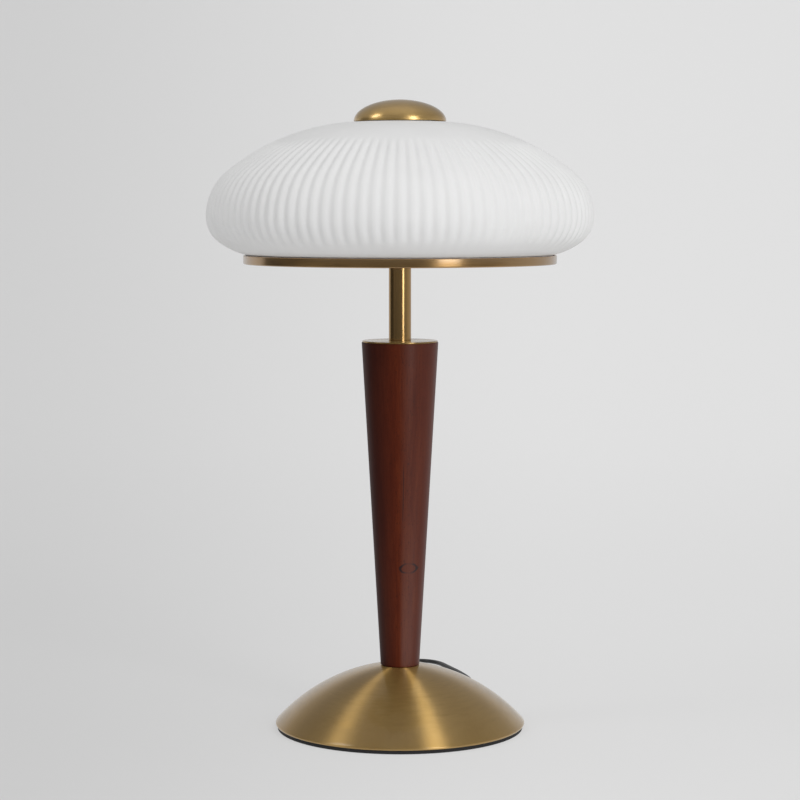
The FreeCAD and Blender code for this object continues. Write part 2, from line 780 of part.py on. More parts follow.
# Cord on the table: out of the gland, round behind the column, back to the switch
switch_left = switch_centre.x - switch_length / 2
switch_right = switch_centre.x + switch_length / 2
switch_y = switch_centre.y
lamp_route = [
    along_exit(gland_tip_radius),
    along_exit(gland_tip_radius + 15),
    Vector(61.0, 141.0, 4.2),
    Vector(61.8, 160.0, cord_floor),
    Vector(58.6, 181.0, cord_floor),
    Vector(51.4, 206.0, cord_floor),
    Vector(42.0, 230.0, cord_floor),
    Vector(34.5, 250.5, cord_floor),
    Vector(20.0, 260.5, cord_floor),
    Vector(-2.0, 254.5, cord_floor),
    Vector(-21.0, 234.5, cord_floor),
    Vector(-36.5, 212.5, cord_floor),
    Vector(-49.0, 190.0, cord_floor),
    Vector(-57.0, 167.0, cord_floor),
    Vector(-60.5, 144.0, cord_floor + 0.3),
    Vector(-59.0, 124.0, cord_in_switch - 0.6),
    Vector(switch_left - 12.0, switch_y, cord_in_switch),
    Vector(switch_left, switch_y, cord_in_switch),
]
parts["cord_lamp_side"] = cord_tube("cord, lamp side", lamp_route)

coil_low = tie_thickness
coil_top = coil_low + 2 * cord_height + 0.4
coil_first_turn = coil_low + cord_height / 2
coil_last_turn = coil_top - cord_height / 2
coil_in = coil_inner_turn - cord_width / 2
coil_out = coil_outer_turn + cord_width / 2
coil = ring(coil_in, coil_out, coil_low, coil_top)
coil.translate(coil_centre)
parts["cord_coil"] = coil
coil_route = [
    Vector(switch_right, switch_y, cord_in_switch),
    Vector(switch_right + 12.0, switch_y, cord_in_switch),
    Vector(48.0, 121.0, cord_floor + 0.8),
    Vector(50.5, 139.0, cord_floor + 0.4),
    Vector(46.5, 157.5, coil_first_turn),
    Vector(38.5, 173.0, coil_first_turn),
    Vector(coil_outer_turn, coil_centre.y, coil_first_turn),
]
parts["cord_switch_side"] = cord_tube("cord, switch side", coil_route)
plug_route = [
    Vector(-coil_outer_turn, coil_centre.y, coil_last_turn),
    Vector(-37.5, 170.0, coil_last_turn),
    Vector(-38.5, 150.0, coil_last_turn + 0.8),
    plug_tail_place - Vector(12.0, 0, 0),
    plug_tail_place,
]
parts["cord_plug_side"] = cord_tube("cord, plug side", plug_route)

# Tie around the coil, on the side that faces the lamp
tie_low_y = coil_centre.y - coil_out - free_gap - tie_thickness
tie_high_y = coil_centre.y - coil_in + 3 * free_gap + tie_thickness
tie_top = coil_top + free_gap + tie_thickness
tie = Part.makeBox(tie_width, tie_high_y - tie_low_y, tie_top, Vector(-tie_width / 2, tie_low_y, 0))
window = Part.makeBox(tie_width, tie_high_y - tie_low_y - 2 * tie_thickness, tie_top - 2 * tie_thickness,
                      Vector(-tie_width / 2, tie_low_y + tie_thickness, tie_thickness))
parts["cord_tie"] = tie.cut(window)

# Switch: two half cases, a rocker on two pins, contact strips and two screws
half = Vector(switch_length / 2, switch_width / 2, 0)
middle = switch_height / 2
lower = rounded_box(switch_centre - half, switch_centre + half + Vector(0, 0, middle), switch_corner, 0)
upper = rounded_box(switch_centre - half + Vector(0, 0, middle),
                    switch_centre + half + Vector(0, 0, switch_height), switch_corner, 0)
upper_edges = [e for e in upper.Edges if e.BoundBox.ZMin > switch_height - 1e-3]
upper = upper.makeFillet(1.5, upper_edges)
room = half - Vector(switch_wall, switch_wall, 0)
floor_up = Vector(0, 0, switch_wall)
lower = lower.cut(rounded_box(switch_centre - room + floor_up,
                              switch_centre + room + Vector(0, 0, middle + 1),
                              switch_corner - switch_wall, 0))
roof = switch_height - switch_wall
hollow = rounded_box(switch_centre - room + Vector(0, 0, middle - 1),
                     switch_centre + room + Vector(0, 0, roof), switch_corner - switch_wall, 0)
slot_half = Vector(rocker_length / 2 + rocker_end_gap, rocker_width / 2 + rocker_side_gap, 0)
rocker_slot = Part.makeBox(2 * slot_half.x, 2 * slot_half.y, switch_height,
                           switch_centre - slot_half + Vector(0, 0, middle))
pivot_height = switch_height - 3.2
cheek_low = pivot_height - 2.2
upper = upper.cut(hollow)
for side in (-1, 1):
    cheek_y = slot_half.y if side > 0 else -slot_half.y - rocker_cheek
    cheek = Part.makeBox(2 * slot_half.x, rocker_cheek, roof - cheek_low,
                         switch_centre + Vector(-slot_half.x, cheek_y, cheek_low))
    upper = upper.fuse(cheek)
upper = upper.cut(rocker_slot)
pin_reach = slot_half.y + rocker_cheek
pin_hole = Part.makeCylinder(rocker_pin_radius + running_gap, 2 * pin_reach,
                             switch_centre + Vector(0, -pin_reach, pivot_height), Vector(0, 1, 0))
upper = upper.cut(pin_hole)
post_radius = switch_screw_head + 0.8
screw_offset = Vector(switch_length / 2 - 7.5, switch_width / 2 - switch_wall - post_radius + 0.6, 0)
switch_screw_solids = []
for side in (-1, 1):
    place = switch_centre + screw_offset * side
    lower_post = Part.makeCylinder(post_radius, middle - switch_wall, place + floor_up)
    upper_post = Part.makeCylinder(post_radius, roof - middle, place + Vector(0, 0, middle))
    lower = lower.fuse(lower_post)
    upper = upper.fuse(upper_post)
    head_height = 1.2
    bite = roof - middle - 1
    lower = lower.cut(Part.makeCylinder(switch_screw_radius + running_gap, middle, place))
    lower = lower.cut(Part.makeCylinder(switch_screw_head + free_gap, head_height + 0.4, place))
    upper = upper.cut(Part.makeCylinder(switch_screw_radius + running_gap, bite + 0.3,
                                        place + Vector(0, 0, middle)))
    head = Part.makeCylinder(switch_screw_head, head_height, place + Vector(0, 0, 0.4))
    shank = Part.makeCylinder(switch_screw_radius, middle + bite - head_height - 0.4,
                              place + Vector(0, 0, head_height + 0.4))
    switch_screw_solids.append(head.fuse(shank))
parts["switch_case_lower"] = lower.removeSplitter()
parts["switch_case_upper"] = upper.removeSplitter()
parts["switch_screws"] = Part.makeCompound(switch_screw_solids)

rocker_half = rocker_length / 2
rocker_points = [
    (-rocker_half, cheek_low + 0.5), (rocker_half, cheek_low + 0.5), (rocker_half, switch_height + 1.2),
    (0, switch_height + 0.1), (-rocker_half, switch_height + 1.2), (-rocker_half, cheek_low + 0.5),
]
rocker_wire = Part.makePolygon([Vector(x, -rocker_width / 2, z) for x, z in rocker_points])
rocker = Part.Face(rocker_wire).extrude(Vector(0, rocker_width, 0))
rocker_pin = Part.makeCylinder(rocker_pin_radius, 2 * pin_reach - 2 * free_gap,
                               Vector(0, free_gap - pin_reach, pivot_height), Vector(0, 1, 0))
rocker = rocker.fuse(rocker_pin)
rocker.rotate(Vector(0, 0, pivot_height), Vector(0, 1, 0), rocker_tilt)
rocker.translate(switch_centre)
parts["switch_rocker"] = rocker
strips = []
for side in (-1, 1):
    strip_place = switch_centre + Vector(side * 12.0 - 6.0, -2.0, switch_wall)
    strips.append(Part.makeBox(12.0, 4.0, 0.8, strip_place))
parts["switch_contacts"] = Part.makeCompound(strips)

# Plug: a flat body with a tapered tail, and two blades on its front
body_start = plug_tail_place.x + plug_tail_length
body_low = Vector(body_start, plug_tail_place.y - plug_width / 2, 0)
body_high = Vector(body_start + plug_length, plug_tail_place.y + plug_width / 2, plug_height)
plug = rounded_box(body_low, body_high, 5.0, 2.5)
plug_tail = Part.makeCone(cord_width / 2 + 0.6, plug_height / 2 - 2, plug_tail_length + 1,
                          plug_tail_place, Vector(1, 0, 0))
parts["plug_body"] = plug.fuse(plug_tail).removeSplitter()
blade_start = body_start + plug_length
blades = []
for side in (-1, 1):
    blade_y = plug_tail_place.y + side * blade_spacing / 2 - blade_thickness / 2
    blades.append(Part.makeBox(blade_length, blade_thickness, blade_width,
                               Vector(blade_start, blade_y, (plug_height - blade_width) / 2)))
parts["plug_blades"] = Part.makeCompound(blades)

for name, shape in parts.items():
    shape.exportStep("parts/%s.step" % name)
    box = shape.BoundBox
    print("%-20s solids %d valid %s volume %.0f z %.1f to %.1f" % (
        name, len(shape.Solids), shape.isValid(), shape.Volume, box.ZMin, box.ZMax))
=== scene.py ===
import math

import bpy
from mathutils import Matrix, Vector


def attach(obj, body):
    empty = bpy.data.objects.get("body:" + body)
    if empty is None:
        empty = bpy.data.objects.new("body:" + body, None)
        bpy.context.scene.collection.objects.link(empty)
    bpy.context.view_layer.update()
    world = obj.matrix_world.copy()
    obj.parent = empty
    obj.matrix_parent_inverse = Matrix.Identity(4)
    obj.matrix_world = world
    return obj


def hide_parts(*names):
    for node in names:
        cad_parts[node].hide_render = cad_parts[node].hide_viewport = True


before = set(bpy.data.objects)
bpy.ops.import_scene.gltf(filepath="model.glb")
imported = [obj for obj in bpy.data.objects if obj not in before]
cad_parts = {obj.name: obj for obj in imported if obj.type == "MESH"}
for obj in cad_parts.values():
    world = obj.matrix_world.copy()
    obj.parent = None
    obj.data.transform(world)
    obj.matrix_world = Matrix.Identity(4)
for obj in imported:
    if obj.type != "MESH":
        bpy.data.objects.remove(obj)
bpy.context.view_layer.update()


# The photograph's view: a long lens a little above the table, 1.84 m away, tilted down
# a few degrees, so that the shade's ring and the rim of the foot show as flat ellipses.
camera_place = (0.0, -1.83936, 0.41249)
camera_tilt = 4.801

camera_data = bpy.data.cameras.new("camera")
camera_data.lens = 106.54
camera_data.sensor_width = 36.0
camera_data.sensor_fit = "HORIZONTAL"
camera = bpy.data.objects.new("camera", camera_data)
camera.location = camera_place
camera.rotation_euler = (math.radians(90.0 - camera_tilt), 0.0, 0.0)
bpy.context.collection.objects.link(camera)
bpy.context.scene.camera = camera


# Studio: a roll of pale paper that lies flat under the lamp and sweeps up behind it, a tall
# soft light in front at the right, a weaker one high at the left, and a dim room all round
# that only shiny metal mirrors. From below the paper is clear, so that the foot shows.
class Signal:
    """One output of a node. Sums, products and powers of signals add Math nodes."""

    def __init__(self, graph, socket):
        self.graph = graph
        self.socket = socket

    def math(self, operation, *values):
        return self.graph.node(
            "ShaderNodeMath", {"operation": operation}, dict(enumerate(values)))

    def __add__(self, other):
        return self.math("ADD", self, other)

    def __sub__(self, other):
        return self.math("SUBTRACT", self, other)

    def __rsub__(self, other):
        return self.math("SUBTRACT", other, self)

    def __mul__(self, other):
        return self.math("MULTIPLY", self, other)

    def __truediv__(self, other):
        return self.math("DIVIDE", self, other)

    def __pow__(self, other):
        return self.math("POWER", self, other)

    def __gt__(self, other):
        return self.math("GREATER_THAN", self, other)

    def __lt__(self, other):
        return self.math("LESS_THAN", self, other)

    __radd__ = __add__
    __rmul__ = __mul__

    def size(self):
        return self.math("ABSOLUTE", self)

    def wave(self):
        return self.math("SINE", self)

    def parts(self):
        """X, Y and Z of a vector signal."""
        kind = "ShaderNodeSeparateXYZ"
        return [self.graph.node(kind, {}, {"Vector": self}, name) for name in "XYZ"]

    def over(self, low, high, to_low=0.0, to_high=1.0):
        """This signal taken smoothly from one range to another, and held at its ends."""
        return self.graph.node(
            "ShaderNodeMapRange", {"interpolation_type": "SMOOTHSTEP", "clamp": True},
            {"Value": self, "From Min": low, "From Max": high,
             "To Min": to_low, "To Max": to_high}, "Result")


def opaque(colour):
    """A colour, or a grey given as one number, as Blender's sockets take it."""
    return (*colour, 1.0) if isinstance(colour, tuple) else (colour, colour, colour, 1.0)


class Graph:
    """The nodes of a material or of the world."""

    def __init__(self, tree):
        self.tree = tree

    def node(self, kind, settings, sockets, output=0):
        node = self.tree.nodes.new(kind)
        for key, value in settings.items():
            if key == "stops":
                while len(node.color_ramp.elements) < len(value):
                    node.color_ramp.elements.new(1.0)
                for stop, (place, colour) in zip(node.color_ramp.elements, value):
                    stop.position = place
                    stop.color = opaque(colour)
            else:
                setattr(node, key, value)
        for key, value in sockets.items():
            self.join(value, node.inputs[key])
        return Signal(self, node.outputs[output])

    def join(self, value, socket):
        if isinstance(value, Signal):
            self.tree.links.new(value.socket, socket)
        else:
            socket.default_value = opaque(value) if socket.type == "RGBA" else value

    def ray(self, kind):
        """1 for one kind of ray: Camera, Glossy or Transmission."""
        return self.node("ShaderNodeLightPath", {}, {}, "Is %s Ray" % kind)

    def blend(self, factor, first, second, mode="MIX"):
        """Colour between two colours, or signals of colour."""
        return self.node(
            "ShaderNodeMix", {"data_type": "RGBA", "blend_type": mode},
            {"Factor": factor, 6: first, 7: second}, 2)

    def ramp(self, factor, *stops):
        return self.node("ShaderNodeValToRGB", {"stops": stops}, {"Fac": factor}, "Color")


class Paint(Graph):
    """A material in the making, on one shader. Its patterns follow the object itself."""

    def __init__(self, name, **values):
        self.material = bpy.data.materials.new(name)
        self.material.use_nodes = True
        super().__init__(self.material.node_tree)
        self.shader = self.tree.nodes["Principled BSDF"]
        self.where = self.node("ShaderNodeTexCoord", {}, {}, "Object")
        for key, value in values.items():
            self.set(key.replace("_", " ").title().replace("Ior", "IOR"), value)

    def set(self, name, value):
        self.join(value, self.shader.inputs[name])

    def tint(self, factor, first, second):
        self.set("Base Color", self.blend(factor, first, second))

    def noise(self, scale, detail=2.0, roughness=0.5, where=None):
        """Noise with one scale all ways, or with one each for X, Y and Z."""
        where = where or self.where
        if isinstance(scale, tuple):
            where = self.node("ShaderNodeMapping", {}, {"Vector": where, "Scale": scale})
            scale = 1.0
        return self.node(
            "ShaderNodeTexNoise", {},
            {"Vector": where, "Scale": scale, "Detail": detail, "Roughness": roughness}, "Fac")

    def bump(self, height, strength, distance):
        self.set("Normal", self.node(
            "ShaderNodeBump", {},
            {"Height": height, "Strength": strength, "Distance": distance}, "Normal"))

    def cover(self, piece):
        """Makes this the only material of a piece."""
        piece.data.materials.clear()
        piece.data.materials.append(self.material)


paper_front = -4.0
paper_back = 1.7
paper_height = -0.0002
sweep_radius = 0.8
wall_height = 3.2
half_width = 4.0
sweep_steps = 16


def pull(run):
    """Extrudes what is selected by a run along X, Y and Z."""
    bpy.ops.mesh.extrude_region_move(TRANSFORM_OT_translate={"value": run})


def trace(name, points):
    """A new piece that is one line through the given points, extruded point by point."""
    bpy.ops.object.select_all(action="DESELECT")
    bpy.ops.mesh.primitive_plane_add(size=0.001)
    piece = bpy.context.object
    piece.name = name
    bpy.ops.object.mode_set(mode="EDIT")
    bpy.ops.mesh.merge(type="CENTER")
    here = Vector(points[0])
    bpy.ops.transform.translate(value=here)
    for point in points[1:]:
        pull(Vector(point) - here)
        here = Vector(point)
    bpy.ops.mesh.select_all(action="SELECT")
    bpy.ops.mesh.remove_doubles(threshold=1e-6)
    return piece


def close_edit(inside=False):
    """Points all faces of the piece in hand outwards, or inwards, and leaves edit mode."""
    bpy.ops.mesh.select_all(action="SELECT")
    bpy.ops.mesh.normals_make_consistent(inside=inside)
    bpy.ops.object.mode_set(mode="OBJECT")


sweep = [(-half_width, paper_front, paper_height), (-half_width, paper_back, paper_height)]
for k in range(1, sweep_steps + 1):
    turn = math.pi / 2 * k / sweep_steps
    sweep.append((-half_width, paper_back + sweep_radius * math.sin(turn),
                  paper_height + sweep_radius * (1.0 - math.cos(turn))))
sweep.append((-half_width, paper_back + sweep_radius, wall_height))
paper = trace("studio_paper", sweep)
pull((2 * half_width, 0.0, 0.0))
close_edit(inside=True)
bpy.ops.object.shade_smooth()

# Painted shade: to the camera the paper is darker to the left and towards the front, as the
# studio's light falls off. Metal mirrors it so only near the foot; further out it mirrors the
# dim room, whose greys go by the direction round the lamp.
view_distance = 1.9
paper_paint = Paint("studio paper", base_color=0.84, roughness=0.8, specular_ior_level=0.2)
x, y, z = paper_paint.where.parts()
depth = y + view_distance
across = x / depth.math("MAXIMUM", depth, 0.4)
tone = paper_paint.blend(across.over(-0.20, 0.08), 0.635, 0.822)
tone = paper_paint.blend(1.0, tone, y.over(-0.2, 2.3, 0.89, 1.0), "MULTIPLY")
room_greys = (
    (0.00, 0.62), (0.10, 0.54), (0.170, 0.54), (0.180, 0.07), (0.29, 0.06), (0.32, 0.17),
    (0.56, 0.20), (0.63, 0.35), (0.75, 0.42), (0.88, 0.52), (0.95, 0.56), (1.00, 0.62))


def bearing(x, y):
    """Direction round the lamp from 0 to 1, with the camera's side at 0.5."""
    return x.math("ARCTAN2", x, y * -1.0) / (2 * math.pi) + 0.5


mirrored = paper_paint.ray("Glossy")
far = (x ** 2.0 + y ** 2.0).over(0.10, 0.70)
tone = paper_paint.blend(mirrored * far, tone, paper_paint.ramp(bearing(x, y), *room_greys))
tone = paper_paint.blend(mirrored * y.over(-0.70, -0.20, 1.0, 0.0), tone, 0.05)
tone = paper_paint.blend(mirrored * z.over(0.65, 1.60), tone, 0.32)
glow = paper_paint.node("ShaderNodeEmission", {}, {"Color": tone, "Strength": 1.0})
seen = paper_paint.ray("Camera") * 0.72 + paper_paint.ray("Transmission") * 0.72 + mirrored
mixed = paper_paint.node("ShaderNodeMixShader", {}, {
    "Fac": seen.math("MINIMUM", seen, 1.0),
    1: Signal(paper_paint, paper_paint.shader.outputs[0]), 2: glow})
from_below = paper_paint.node("ShaderNodeNewGeometry", {}, {}, "Backfacing")
clear = paper_paint.node("ShaderNodeBsdfTransparent", {}, {})
mixed = paper_paint.node("ShaderNodeMixShader", {}, {"Fac": from_below, 1: mixed, 2: clear})
paper_paint.join(mixed, paper_paint.tree.nodes["Material Output"].inputs["Surface"])
paper_paint.cover(paper)

light_distance = 1.9
light_target = (0.0, 0.0, 0.28)


def soft_light(name, azimuth, height, width, tall, power):
    """Rectangular light aimed at the middle of the lamp; azimuth 0 is the camera's side."""
    data = bpy.data.lights.new(name, "AREA")
    data.shape = "RECTANGLE"
    data.size = width
    data.size_y = tall
    data.energy = power
    light = bpy.data.objects.new(name, data)
    turn = math.radians(azimuth)
    light.location = (light_distance * math.sin(turn), -light_distance * math.cos(turn), height)
    aim = Vector(light_target) - light.location
    light.rotation_euler = aim.to_track_quat("-Z", "Y").to_euler()
    bpy.context.collection.objects.link(light)


soft_light("key_light", azimuth=34.5, height=0.95, width=0.56, tall=1.6, power=11.0)
soft_light("side_light", azimuth=-72.0, height=1.85, width=0.60, tall=1.0, power=6.5)

world = bpy.data.worlds.new("studio room")
bpy.context.scene.world = world
world.use_nodes = True
room = Graph(world.node_tree)
x, y, z = room.node("ShaderNodeTexCoord", {}, {}, "Generated").parts()
mirrored = room.ramp(bearing(x, y), *room_greys)
mirrored = room.blend(z.over(0.15, 0.50), mirrored, (0.32, 0.32, 0.325))
mirrored = room.blend(z.over(0.75, 1.00), mirrored, (0.52, 0.52, 0.525))
lit = room.blend(x.over(-1.0, 1.0), 0.36, 0.64)
lit = room.blend(z.over(0.20, 1.00), lit, 0.76)
lit = room.blend(room.ray("Camera"), lit, 0.74)
room.join(room.blend(room.ray("Glossy"), lit, mirrored),
          room.tree.nodes["Background"].inputs["Color"])

bpy.context.scene.view_settings.view_transform = "Standard"


# Base: a disc of brass sheet spun into a low dome over a former, its rim rolled under.
# It is brushed in circles on the lathe and lacquered clear.
def arc(centre, radius, start, end, steps):
    """Points on an arc in a section, as (radius, height), without its first one."""
    points = []
    for k in range(1, steps + 1):
        angle = math.radians(start + (end - start) * k / steps)
        points.append((centre[0] + radius * math.cos(angle), centre[1] + radius * math.sin(angle)))
    return points


def turn_on_lathe(name, section, steps):
    """A closed section of (radius, height) points in metres, spun about Z.

    One eighth is spun first and then set round seven times, which is quicker for many steps.
    """
    piece = trace(name, [(radius, 0.0, height) for radius, height in [*section, section[0]]])
    eighth = math.pi / 4
    stem_axis = {"center": (0.0, 0.0, 0.0), "axis": (0.0, 0.0, 1.0)}
    bpy.ops.mesh.spin(steps=steps // 8, angle=eighth, **stem_axis)
    bpy.ops.mesh.select_all(action="SELECT")
    bpy.ops.mesh.spin(steps=7, dupli=True, angle=7 * eighth, **stem_axis)
    bpy.ops.mesh.select_all(action="SELECT")
    bpy.ops.mesh.remove_doubles(threshold=1e-6)
    close_edit()
    bpy.ops.object.shade_smooth_by_angle(angle=math.radians(30.0))
    return piece


def dress(piece, paint, slot, body, *nodes):
    """Material and body of a piece, and the nodes that it stands for. The slot is not used."""
    paint.cover(piece)
    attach(piece, body)
    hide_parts(*nodes)


def brushed_brass(name, colour, worn, streak, spread, roughness, lacquer):
    """Lacquered brass, brushed in circles about the stem's axis."""
    brush_lines = 1150.0
    paint = Paint(name, metallic=1.0, anisotropic=spread, anisotropic_rotation=0.25,
                  coat_weight=1.0, coat_roughness=0.15, coat_ior=lacquer)
    x, y, z = paint.where.parts()
    radius = (x ** 2.0 + y ** 2.0) ** 0.5 + 0.0001
    rubbed = paint.node("ShaderNodeCombineXYZ", {}, {
        "X": x / radius * streak, "Y": y / radius * streak, "Z": (radius + z) * brush_lines})
    lines = paint.noise(1.0, 3.0, 0.65, rubbed)
    drift = paint.noise(16.0)
    paint.tint((drift * 0.5 + lines * 0.5).over(0.34, 0.66), colour, worn)
    paint.set("Roughness", lines.over(0.25, 0.75, roughness - 0.05, roughness + 0.05))
    paint.bump(lines, 0.03, 0.0002)
    return paint


base_radius = 0.09785
base_top = 0.0493
base_hole = 0.0053
base_arc_radius = 0.143
rim_low = 0.0028
rim_round = 0.00125
base_wall = 0.0012
wall_start = 1.5
seat_radius = 0.0157
dome_centre = (-0.007886, -0.091744)
dome_steps = 40

rim_centre = (base_radius - rim_round, rim_low + rim_round)
rim_turn = math.degrees(math.atan2(rim_centre[1] - dome_centre[1], rim_centre[0] - dome_centre[0]))
seat_turn = math.degrees(math.acos((seat_radius - dome_centre[0]) / base_arc_radius))
inner_arc = arc(dome_centre, base_arc_radius - base_wall, rim_turn - wall_start, seat_turn,
                dome_steps // 2)
base_shell = turn_on_lathe("spun_base_shell", [
    (base_hole, base_top),
    (seat_radius, base_top),
    *arc(dome_centre, base_arc_radius, seat_turn, rim_turn, dome_steps),
    *arc(rim_centre, rim_round, rim_turn, -90.0, 6),
    (base_radius - 2 * rim_round, rim_low),
    *inner_arc,
    (base_hole, inner_arc[-1][1]),
], 192)
spun_brass = brushed_brass("spun brass", (0.56, 0.350, 0.108), (0.67, 0.440, 0.155),
                           streak=4.0, spread=1.0, roughness=0.45, lacquer=1.45)
dress(base_shell, spun_brass, "spun_brass", "stand", "base_shell")


# Foot: a die-cut disc of black foam rubber under an enamelled steel cover, which three
# cross-head screws hold up against the cast ring that weighs the base down.
def finish(paint, *nodes):
    """Gives nodes that keep their own shape a better material."""
    for name in nodes:
        paint.cover(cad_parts[name])


def pick(*pieces):
    """Selects pieces and nothing else, with the first as the one in hand."""
    bpy.ops.object.select_all(action="DESELECT")
    for piece in pieces:
        piece.select_set(True)
    bpy.context.view_layer.objects.active = pieces[0]


def block(name, low, high):
    """A cube between two corners."""
    bpy.ops.object.select_all(action="DESELECT")
    low, high = Vector(low), Vector(high)
    bpy.ops.mesh.primitive_cube_add(size=1.0, location=(low + high) / 2, scale=high - low)
    piece = bpy.context.object
    piece.name = name
    bpy.ops.object.transform_apply(location=True, rotation=False, scale=True)
    return piece


def carve(piece, cutter, operation="DIFFERENCE"):
    """Cuts a shape out of a piece, or keeps only what lies in it, and uses the shape up."""
    cut = piece.modifiers.new("cut", "BOOLEAN")
    cut.operation = operation
    cut.solver = "EXACT"
    cut.object = cutter
    pick(piece)
    bpy.ops.object.modifier_apply(modifier=cut.name)
    bpy.data.objects.remove(cutter)


def another(piece, name, shift=(0.0, 0.0, 0.0)):
    """A shifted copy with a mesh of its own."""
    twin = piece.copy()
    twin.data = piece.data.copy()
    twin.name = name
    bpy.context.collection.objects.link(twin)
    twin.data.transform(Matrix.Translation(shift))
    return twin


def join(name, *pieces):
    """Several loose pieces as one object."""
    pick(*pieces)
    bpy.ops.object.join()
    pieces[0].name = name
    return pieces[0]


def repeat(name, first, shifts):
    """One object of shifted copies of a first piece, which is used up."""
    piece = join(name, *[another(first, "copy", shift) for shift in shifts])
    bpy.data.objects.remove(first)
    return piece


def cross_head_screw(head, height, shank, length, recess):
    """A screw that stands on its head at the origin, with a cross in the head's face."""
    screw = turn_on_lathe("screw", [
        (0.0, 0.0), (head * 0.78, 0.0), (head * 0.94, height * 0.14), (head, height * 0.40),
        (head, height), (shank, height), (shank, height + length - shank * 0.6),
        (shank * 0.5, height + length), (0.0, height + length),
    ], 32)
    arm = head * 0.62
    for x, y in ((arm, recess), (recess, arm)):
        carve(screw, block("cutter", (-x, -y, -0.001), (x, y, height * 0.5)))
    return screw


screw_circle = 0.052
screw_head_low = 0.0010

thirds = [2 * math.pi * k / 3 for k in range(3)]
screws = repeat(
    "foot_screws",
    cross_head_screw(head=0.0038, height=0.0018, shank=0.002, length=0.0092, recess=0.00045),
    [(screw_circle * math.cos(turn), screw_circle * math.sin(turn), screw_head_low)
     for turn in thirds])

zinc = Paint("zinc plate", metallic=1.0)
zinc.set("Base Color", zinc.ramp(
    zinc.noise(260.0, 3.0, 0.6),
    (0.30, (0.48, 0.49, 0.52)), (0.52, 0.60), (0.74, (0.66, 0.62, 0.52))))
zinc.set("Roughness", zinc.noise(900.0).over(0.3, 0.7, 0.28, 0.46))
zinc.bump(zinc.noise(2400.0), 0.08, 0.0002)
dress(screws, zinc, "zinc_steel", "stand", "weight_screws")

rubber = Paint("foam rubber", roughness=0.85)
cells = rubber.node(
    "ShaderNodeTexVoronoi", {}, {"Vector": rubber.where, "Scale": 1900.0}, "Distance")
rubber.tint(rubber.noise(60.0), (0.012, 0.012, 0.013), (0.026, 0.026, 0.027))
rubber.bump(cells, 0.6, 0.0003)
finish(rubber, "foot_pad")

enamel = Paint("black enamel", roughness=0.45)
enamel.tint(enamel.noise(90.0), (0.014, 0.014, 0.015), (0.024, 0.024, 0.025))
enamel.bump(enamel.noise(700.0, 3.0), 0.15, 0.0003)
finish(enamel, "bottom_cover")

iron = Paint("sprayed iron", roughness=0.7)
sand = iron.noise(420.0, 4.0, 0.7)
iron.tint(sand, (0.055, 0.055, 0.058), (0.12, 0.118, 0.115))
iron.bump(sand, 0.7, 0.0006)
finish(iron, "base_weight")


# Hardware of the stem: a zinc-plated pipe threaded from end to end, with hexagon nuts,
# washers and a toothed lock washer that pull the stem together.
nut_flats = 0.014
nut_height = 0.005
nut_bore = 0.00505
nut_face = 0.0069
nut_chamfer = 0.0007
nut_lows = {"base_nut": 0.0408, "spider_nut": 0.3673, "rod_nut": 0.4028}
thread_pitch = 0.001


def smooth(piece, degrees):
    """Smooth shading, but for edges that are sharper than an angle."""
    pick(piece)
    bpy.ops.object.shade_smooth_by_angle(angle=math.radians(degrees))


corner = nut_flats / math.sqrt(3)
bpy.ops.object.select_all(action="DESELECT")
bpy.ops.mesh.primitive_cylinder_add(
    vertices=6, radius=corner, depth=nut_height, location=(0.0, 0.0, nut_height / 2),
    rotation=(0.0, 0.0, math.pi / 6))
nut = bpy.context.object
bpy.ops.object.transform_apply(location=True, rotation=True, scale=False)
carve(nut, turn_on_lathe("barrel", [
    (nut_bore, 0.0), (nut_face, 0.0), (corner + 0.0001, nut_chamfer),
    (corner + 0.0001, nut_height - nut_chamfer), (nut_face, nut_height), (nut_bore, nut_height),
], 48), "INTERSECT")
smooth(nut, 25.0)
for node, low in nut_lows.items():
    dress(another(nut, node + "_chamfered", (0.0, 0.0, low)), zinc, "zinc_steel", "stand", node)
bpy.data.objects.remove(nut)
finish(zinc, "base_washer", "base_lock_washer", "spider_washer", "holder_nipples")

threaded = Paint("zinc plated thread", metallic=1.0, roughness=0.34)
x, y, z = threaded.where.parts()
ridge = (z * (2 * math.pi / thread_pitch) - y.math("ARCTAN2", y, x)).wave()
# Painted shade: the thread's grooves are painted dark and its crests pale.
threaded.tint(ridge.over(-1.0, 0.2), (0.16, 0.16, 0.17), (0.60, 0.60, 0.61))
threaded.bump(ridge, 0.8, 0.0004)
finish(threaded, "threaded_pipe", "top_rod")


# Column: a straight taper turned from one piece of mahogany, drilled through for the pipe,
# stained red-brown and sprayed with satin lacquer. It has a small knot low at the front.
column_low = 0.0493
column_high = 0.3033
column_foot = 0.0152
column_head = 0.0299
column_bore = 0.0056
foot_bevel = 0.0008
head_bevel = 0.0004
column_rows = 16
knot_place = (0.0066, 0.1283)
knot_half = (0.0064, 0.0037)
check_place = (0.0022, 0.166)
check_slant = 0.016

taper = (column_head - column_foot) / (column_high - column_low)
column_section = [(column_bore, column_low), (column_foot - foot_bevel, column_low)]
for k in range(column_rows):
    rise = (column_high - column_low - foot_bevel - head_bevel) * k / column_rows
    column_section.append((column_foot + taper * rise, column_low + foot_bevel + rise))
column_section += [
    (column_head - 0.0001, column_high - head_bevel),
    (column_head - head_bevel, column_high),
    (column_bore, column_high),
]
column = turn_on_lathe("turned_column", column_section, 128)

